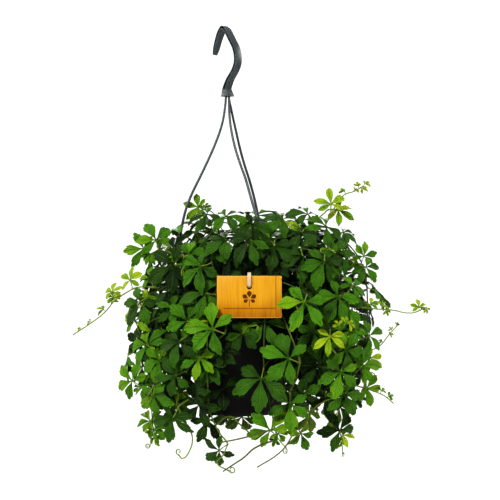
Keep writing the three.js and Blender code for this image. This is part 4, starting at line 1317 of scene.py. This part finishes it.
arms = {
    "spread": 2.7,
    "thickness": 2.9,
    "thickens": 0.4,
    "knots": 17,
    "bows": [
        [(0, 272), (0.04, 250), (0.135, 228), (0.3, 203), (0.49, 178), (0.66, 157), (0.8, 136),
         (0.89, 114), (0.96, 85)],
        [(0, 272), (0.08, 251), (0.165, 231), (0.25, 211), (0.36, 190), (0.47, 172), (0.59, 149),
         (0.71, 120), (0.87, 84)],
        [(0, 272), (0.01, 251), (0.06, 230), (0.148, 209), (0.26, 190), (0.388, 171), (0.53, 144),
         (0.72, 110), (0.87, 78)],
    ],  # share of the way out, and height
    "straight": (48, 16),  # heights over the lug
    "ends": (3.7, -3.7),
    "toe": [(1.3, -8.2), (1.6, -7.9), (3.3, -3.8), (3.3, -3.3), (2.9, -3.2)],
}
upward = Vector((0, 0, 1))
alongHook = turned(Vector((1, 0, 0)), upward, hook["turn"])
acrossHook = turned(Vector((0, 1, 0)), upward, hook["turn"])


def hookPoint(along, across, height):
    return hook["foot"] + alongHook * along + acrossHook * across + Vector((0, 0, height))


def hookSection(share):  # the corners of the I section
    wide, deep, blunt = hook["halfWidth"], hook["halfDepth"], hook["blunt"]
    narrow = max(0, share - wide["narrowsFrom"]) / (1 - wide["narrowsFrom"])
    tapering = max(0, share - blunt["from"]) / (1 - blunt["from"])
    rounding = between(1, blunt["share"], tapering)
    halfWidth = between(wide["foot"], wide["tip"], narrow) * rounding
    halfDepth = between(deep["foot"], deep["tip"], min(1, share / deep["slimBy"])) * rounding
    inner, crown = halfDepth - hook["flange"], halfDepth - hook["crown"]
    quarter = [(halfWidth * hook["crownShare"], halfDepth), (halfWidth, crown), (halfWidth, inner),
               (hook["web"], inner)]
    right = quarter + [(w, -d) for w, d in quarter[::-1]]
    return right + [(-w, d) for w, d in right[::-1]]


def modelBar():
    middleLine = [hookPoint(along, 0, height) for along, height in hook["middleLine"]]
    path = [pointAlong(middleLine, i / hook["steps"]) for i in range(hook["steps"] + 1)]
    rings = []
    for i, point in enumerate(path):
        tangent = path[min(i + 1, len(path) - 1)] - path[max(i - 1, 0)]
        outward = acrossHook.cross(tangent).normalized()
        rings.append([point + acrossHook * w + outward * d for w, d in hookSection(i / hook["steps"])])
    bar = sweepRings("hook_dressed", rings)
    softenEdges(bar, hook["edges"]["bar"], segments=3)
    return bar


def modelHook():
    bar = modelBar()
    skirt = sweepRings("skirt", [
        [hookPoint(left, -half, height), hookPoint(right, -half, height),
         hookPoint(right, half, height), hookPoint(left, half, height)]
        for left, right, half, height in hook["skirt"]
    ])
    softenEdges(skirt, hook["edges"]["skirt"], segments=3)
    cutWith(bar, skirt, "UNION")
    for angle in pot["lugs"]:
        away = turned(Vector((1, 0, 0)), upward, angle) * arms["spread"]
        cutWith(bar, addPeg(16, hook["socket"], 10, hook["foot"] + away - upward))
    applyModifier(bar, "WELD", merge_threshold=hook["weld"])
    bar.data.materials.append(hangerPlastic)
    finishPiece(bar, ["hook"], smooth=35)


def armLine(number):
    outward = turned(Vector((1, 0, 0)), upward, pot["lugs"][number])
    start = hook["foot"] + outward * arms["spread"]
    end = outward * pot["armAt"]
    first, last = arms["ends"]
    line = []
    for share, height in arms["bows"][number]:
        point = start.lerp(end, share)
        line.append(Vector((point.x, point.y, height)))
    line += [Vector((end.x, end.y, height)) for height in arms["straight"]]
    points = [pointAlong(line, i / (arms["knots"] - 1)) for i in range(arms["knots"])]
    top = Vector((start.x, start.y, hook["foot"].z + first))
    return [top, *points, Vector((end.x, end.y, last))]


def modelArm(number):
    line = armLine(number)
    last = len(line) - 1
    radii = [arms["thickness"] / 2 + arms["thickens"] * i / last for i in range(last + 1)]
    rod = rodsOf(f"arm_{number + 1}_dressed", [(line, radii)], fineness=3)
    toe = pileRings("toe", 24, arms["toe"])
    toe.location = (line[-1].x, line[-1].y, 0)
    applyPlace(toe)
    arm = joinAll([rod, toe], rod.name)
    arm.data.materials.append(hangerPlastic)
    finishPiece(arm, [f"arm_{number + 1}"])


modelHook()
for number in range(len(arms["bows"])):
    modelArm(number)
print("hanger modelled")

# The hang tag, a wood-look card, and the tie that holds it to a stem
tag = {
    "size": (76, 1, 49.5),
    "middle": Vector((11.7, -121, 29.5)),
    "holeDepth": 12.9,
    "holeRadius": 3.1,
    "wood": [(0.2, (0.25, 0.085, 0.001)), (0.42, (0.43, 0.18, 0.002)), (0.62, (0.54, 0.27, 0.01))],
    "dark": {"between": (-26, 2), "share": 0.3},
    "edge": {"rounding": 0.2, "from": 0.77, "to": 0.49,  # inwards from the card's outline, where a pale band is a painted highlight along the edges
             "share": 0.6, "colour": (0.62, 0.36, 0.08, 1)},
    "lines": {"level": -13.5, "start": (-32, -29), "end": (30.5, 31.5), "upright": 31.2,
              "fade": (0.4, 1.04),  # sideways from a line's middle
              "worn": (0.35, 0.5), "uprightShare": 0.7, "share": 0.9,
              "colour": (0.2, 0.06, 0.002, 1)},
    "print": {"hub": -2.5, "above": 0.02, "leaflet": 10, "width": 0.3, "from": 0.12,
              "stalk": (0.8, 8.4), "stalkGap": 0.5, "thickness": 0.05, "sides": 20},
}
tie = {"half": Vector((2.2, 4.6, 8.2)), "band": 0.8, "lean": 4, "steps": 44, "sides": 10}
tagHole = tag["middle"] + Vector((0, 0, tag["size"][2] / 2 - tag["holeDepth"]))


def inRange(at, low, high):  # rises between two places given in millimetres
    return at.rises(low * mm, high * mm)


def cardLines(x, z, bands):  # how much of the ruled lines' colour each place has
    lines = tag["lines"]
    level, upright = [1 - inRange(abs(at - lines[name] * mm), *lines["fade"])
                      for name, at in (("level", z), ("upright", x))]
    level = level * inRange(x, *lines["start"]) * (1 - inRange(x, *lines["end"]))
    upright = upright * lines["uprightShare"] * bands.rises(*lines["worn"])
    return level.larger(upright) * lines["share"]


def cardEdgeHighlight(x, z):  # how much of the painted highlight along the card's edges each place has
    edge = tag["edge"]
    side, flat = [inRange(abs(at), size / 2 - edge["from"], size / 2 - edge["to"])
                  for at, size in ((x, tag["size"][0]), (z, tag["size"][2]))]
    return side.larger(flat) * edge["share"]


def cardMaterial():
    material, shader, place = newMaterial("woodLookCard", Specular_IOR_Level=0.15)
    fromMiddle = {0: place, 1: inRow(tag["middle"])}
    local = place.node("ShaderNodeVectorMath", {"operation": "SUBTRACT"}, fromMiddle)
    x, _, z = local.parts()
    grain = local.stretched((1, 1, 0.035)).noise(1100, 4, 0.6)
    bands = local.stretched((1, 1, 0.05)).noise(120, 2)
    low = 1 - inRange(z, *tag["dark"]["between"])
    board = (grain * 0.45 + bands * 0.25 - low * tag["dark"]["share"] + 0.2).ramp(*tag["wood"])
    lined = board.mixed(tag["lines"]["colour"], cardLines(x, z, bands))
    # the pale band along the card's edges is a painted highlight
    lined.mixed(tag["edge"]["colour"], cardEdgeHighlight(x, z)).feeds(shader, "Base Color")
    (grain * 0.15 + 0.38).feeds(shader, "Roughness")
    grain.bumps(shader, 0.2, 0.0002)
    return material


def inkMaterial():
    material, shader, place = newMaterial("brownInk", Roughness=0.6, Specular_IOR_Level=0.1)
    shade = place.noise(700, 2).ramp((0.3, (0.06, 0.014, 0.001)), (0.75, (0.11, 0.03, 0.002)))
    shade.feeds(shader, "Base Color")
    return material


def printLeaflet(length, turn):  # a flat leaflet whose foot points at the origin
    plan = tag["print"]
    bpy.ops.mesh.primitive_circle_add(vertices=plan["sides"], radius=1, fill_type="NGON")
    blade = bpy.context.active_object
    for vertex in blade.data.vertices:
        t = (vertex.co.x + 1) / 2
        width = plan["width"] * math.sin(math.pi * t ** 1.5)
        along = plan["from"] * length + t * (1 - plan["from"]) * length
        across = math.copysign(width * length, vertex.co.y) if abs(vertex.co.y) > 0.01 else 0
        vertex.co = (along * math.cos(turn) - across * math.sin(turn), 0,
                     along * math.sin(turn) + across * math.cos(turn))
    return blade


def modelSprig():  # a small printed leaf of five leaflets on a stalk, flat on the card
    plan = tag["print"]
    front = tag["middle"].y - tag["size"][1] / 2
    hub = (tagHole.x, front - plan["above"], tag["middle"].z + plan["hub"])
    parts = [printLeaflet(plan["leaflet"] * length, math.radians(90 + angle))
             for angle, length in zip(leafPlan["angles"], leafPlan["lengths"])]
    sprig = joinAll(parts, "tag_print")
    sprig.location = hub
    applyPlace(sprig)
    applyModifier(sprig, "SOLIDIFY", thickness=plan["thickness"], offset=0)
    width, length = plan["stalk"]
    middle = (hub[0], hub[1], hub[2] - plan["stalkGap"] - length / 2)
    stalkPrint = addBlock((width, plan["thickness"], length), middle)
    joinAll([sprig, stalkPrint], sprig.name)
    sprig.data.materials.append(inkMaterial())
    return sprig


def modelTag():
    card = addBlock(tag["size"], tag["middle"])
    softenEdges(card, tag["edge"]["rounding"])
    cutWith(card, addPeg(32, tag["holeRadius"], 8, tagHole, (math.pi / 2, 0, 0)))
    card.data.materials.append(cardMaterial())
    finishPiece(joinAll([card, modelSprig()], "tag_dressed"), ["tag"], smooth=35)


def tieMaterial():
    material, shader, place = newMaterial("creamTie", Specular_IOR_Level=0.3, Roughness=0.75)
    threads = place.stretched((1, 0.2, 0.2)).noise(1500, 3)
    threads.ramp((0.3, (0.36, 0.26, 0.13)), (0.7, (0.62, 0.5, 0.31))).feeds(shader, "Base Color")
    threads.bumps(shader, 0.5, 0.0003)
    return material


def tiePoint(angle, side):  # on the band, at an angle round the loop and one round the band
    lift = tie["band"] * math.sin(side)
    depth = (tie["half"].y + lift) * math.cos(angle)
    height = (tie["half"].z + lift) * math.sin(angle)
    point = Vector((tie["half"].x * math.cos(side), depth, height + tie["half"].z))
    return turned(point, Vector((1, 0, 0)), -tie["lean"]) + tagHole


def modelTie():
    angles = [2 * math.pi * i / tie["steps"] - math.pi / 2 for i in range(tie["steps"])]
    sides = [2 * math.pi * s / tie["sides"] for s in range(tie["sides"])]
    rings = [[tiePoint(angle, side) for side in sides] for angle in angles]
    loop = sweepRings("tie_dressed", rings, closed=True)
    loop.data.materials.append(tieMaterial())
    finishPiece(loop, ["tag_tie"], smooth=60)


modelTag()
modelTie()
print("label modelled")

# Floor, light and camera
studio = {
    "floor": {"height": -1.15, "size": 5.4, "shine": 0.85},
    "lamps": {
        "key": {"place": (-0.8, -2.0, 0.9), "size": 0.6, "power": 70},
        "fill": {"place": (1.7, -1.7, -0.2), "size": 1.2, "power": 20},
        "top": {"place": (0.1, 0.4, 1.5), "size": 0.8, "power": 15},
        "left": {"place": (-2.0, 0.7, 0.6), "size": 1.0, "power": 30},
        "right": {"place": (2.0, 0.7, 0.6), "size": 1.0, "power": 30},
        "back": {"place": (0.2, 2.2, 0.7), "size": 1.2, "power": 56},
    },
    "ambient": 0.01,
    "sensor": 36,
}


def aimAt(thing, place, target):
    thing.location = place
    thing.rotation_euler = (target - Vector(place)).to_track_quat("-Z", "Y").to_euler()


def floorMaterial():
    shine = studio["floor"]["shine"]
    material, shader, place = newMaterial("paleFloor", Roughness=0.9, Emission_Strength=shine)
    place.node("ShaderNodeLightPath").feeds(shader, "Emission Color")  # pale in the picture alone
    place.noise(3, 2).ramp((0.3, (0.6, 0.6, 0.59)), (0.7, (0.64, 0.64, 0.63))).feeds(shader, "Base Color")
    below = place.node("ShaderNodeNewGeometry", output="Backfacing")  # from below it is seen through
    pale, nothing = Wire(material.node_tree, shader.outputs[0]), place.node("ShaderNodeBsdfTransparent")
    whole = place.node("ShaderNodeMixShader", None, {0: below, 1: pale, 2: nothing})
    whole.feeds(material.node_tree.nodes["Material Output"], "Surface")
    return material


def modelFloor():
    plan = studio["floor"]
    bpy.ops.mesh.primitive_grid_add(x_subdivisions=4, y_subdivisions=4, size=plan["size"],
                                    location=(0, 0, plan["height"]))
    floor = bpy.context.active_object
    applyPlace(floor)
    floor.name = "floor"
    floor.data.materials.append(floorMaterial())


def addLight(name, plan):
    light = bpy.data.lights.new(name, "AREA")
    light.size = plan["size"]
    light.energy = plan["power"]
    aimAt(added(bpy.data.objects.new(name, light)), plan["place"], inRow(bush["centre"]))


def lightWorld():  # white behind the plant, and only faint light from all round on it
    world = bpy.data.worlds.new("studio")
    bpy.context.scene.world = world
    world.use_nodes = True
    back = world.node_tree.nodes["Background"]
    seen = Wire(world.node_tree).node("ShaderNodeLightPath")
    faint = studio["ambient"]
    (seen * (1 - faint) + faint).feeds(back, "Color")
    back.inputs["Strength"].default_value = 1


def addCamera():
    data = bpy.data.cameras.new("camera")
    data.sensor_width = studio["sensor"]
    data.lens = studio["sensor"] * -view["point"].y / (2 * view["centre"] * view["pixel"])
    data.clip_end = 100
    camera = added(bpy.data.objects.new("camera", data))
    aimAt(camera, inRow(view["point"]), inRow(view["middle"]))
    bpy.context.scene.camera = camera


modelFloor()
for name, plan in studio["lamps"].items():
    addLight(name, plan)
lightWorld()
addCamera()
bpy.context.scene.view_settings.view_transform = "Standard"
bpy.context.scene.view_settings.look = "Medium High Contrast"
print("studio ready")
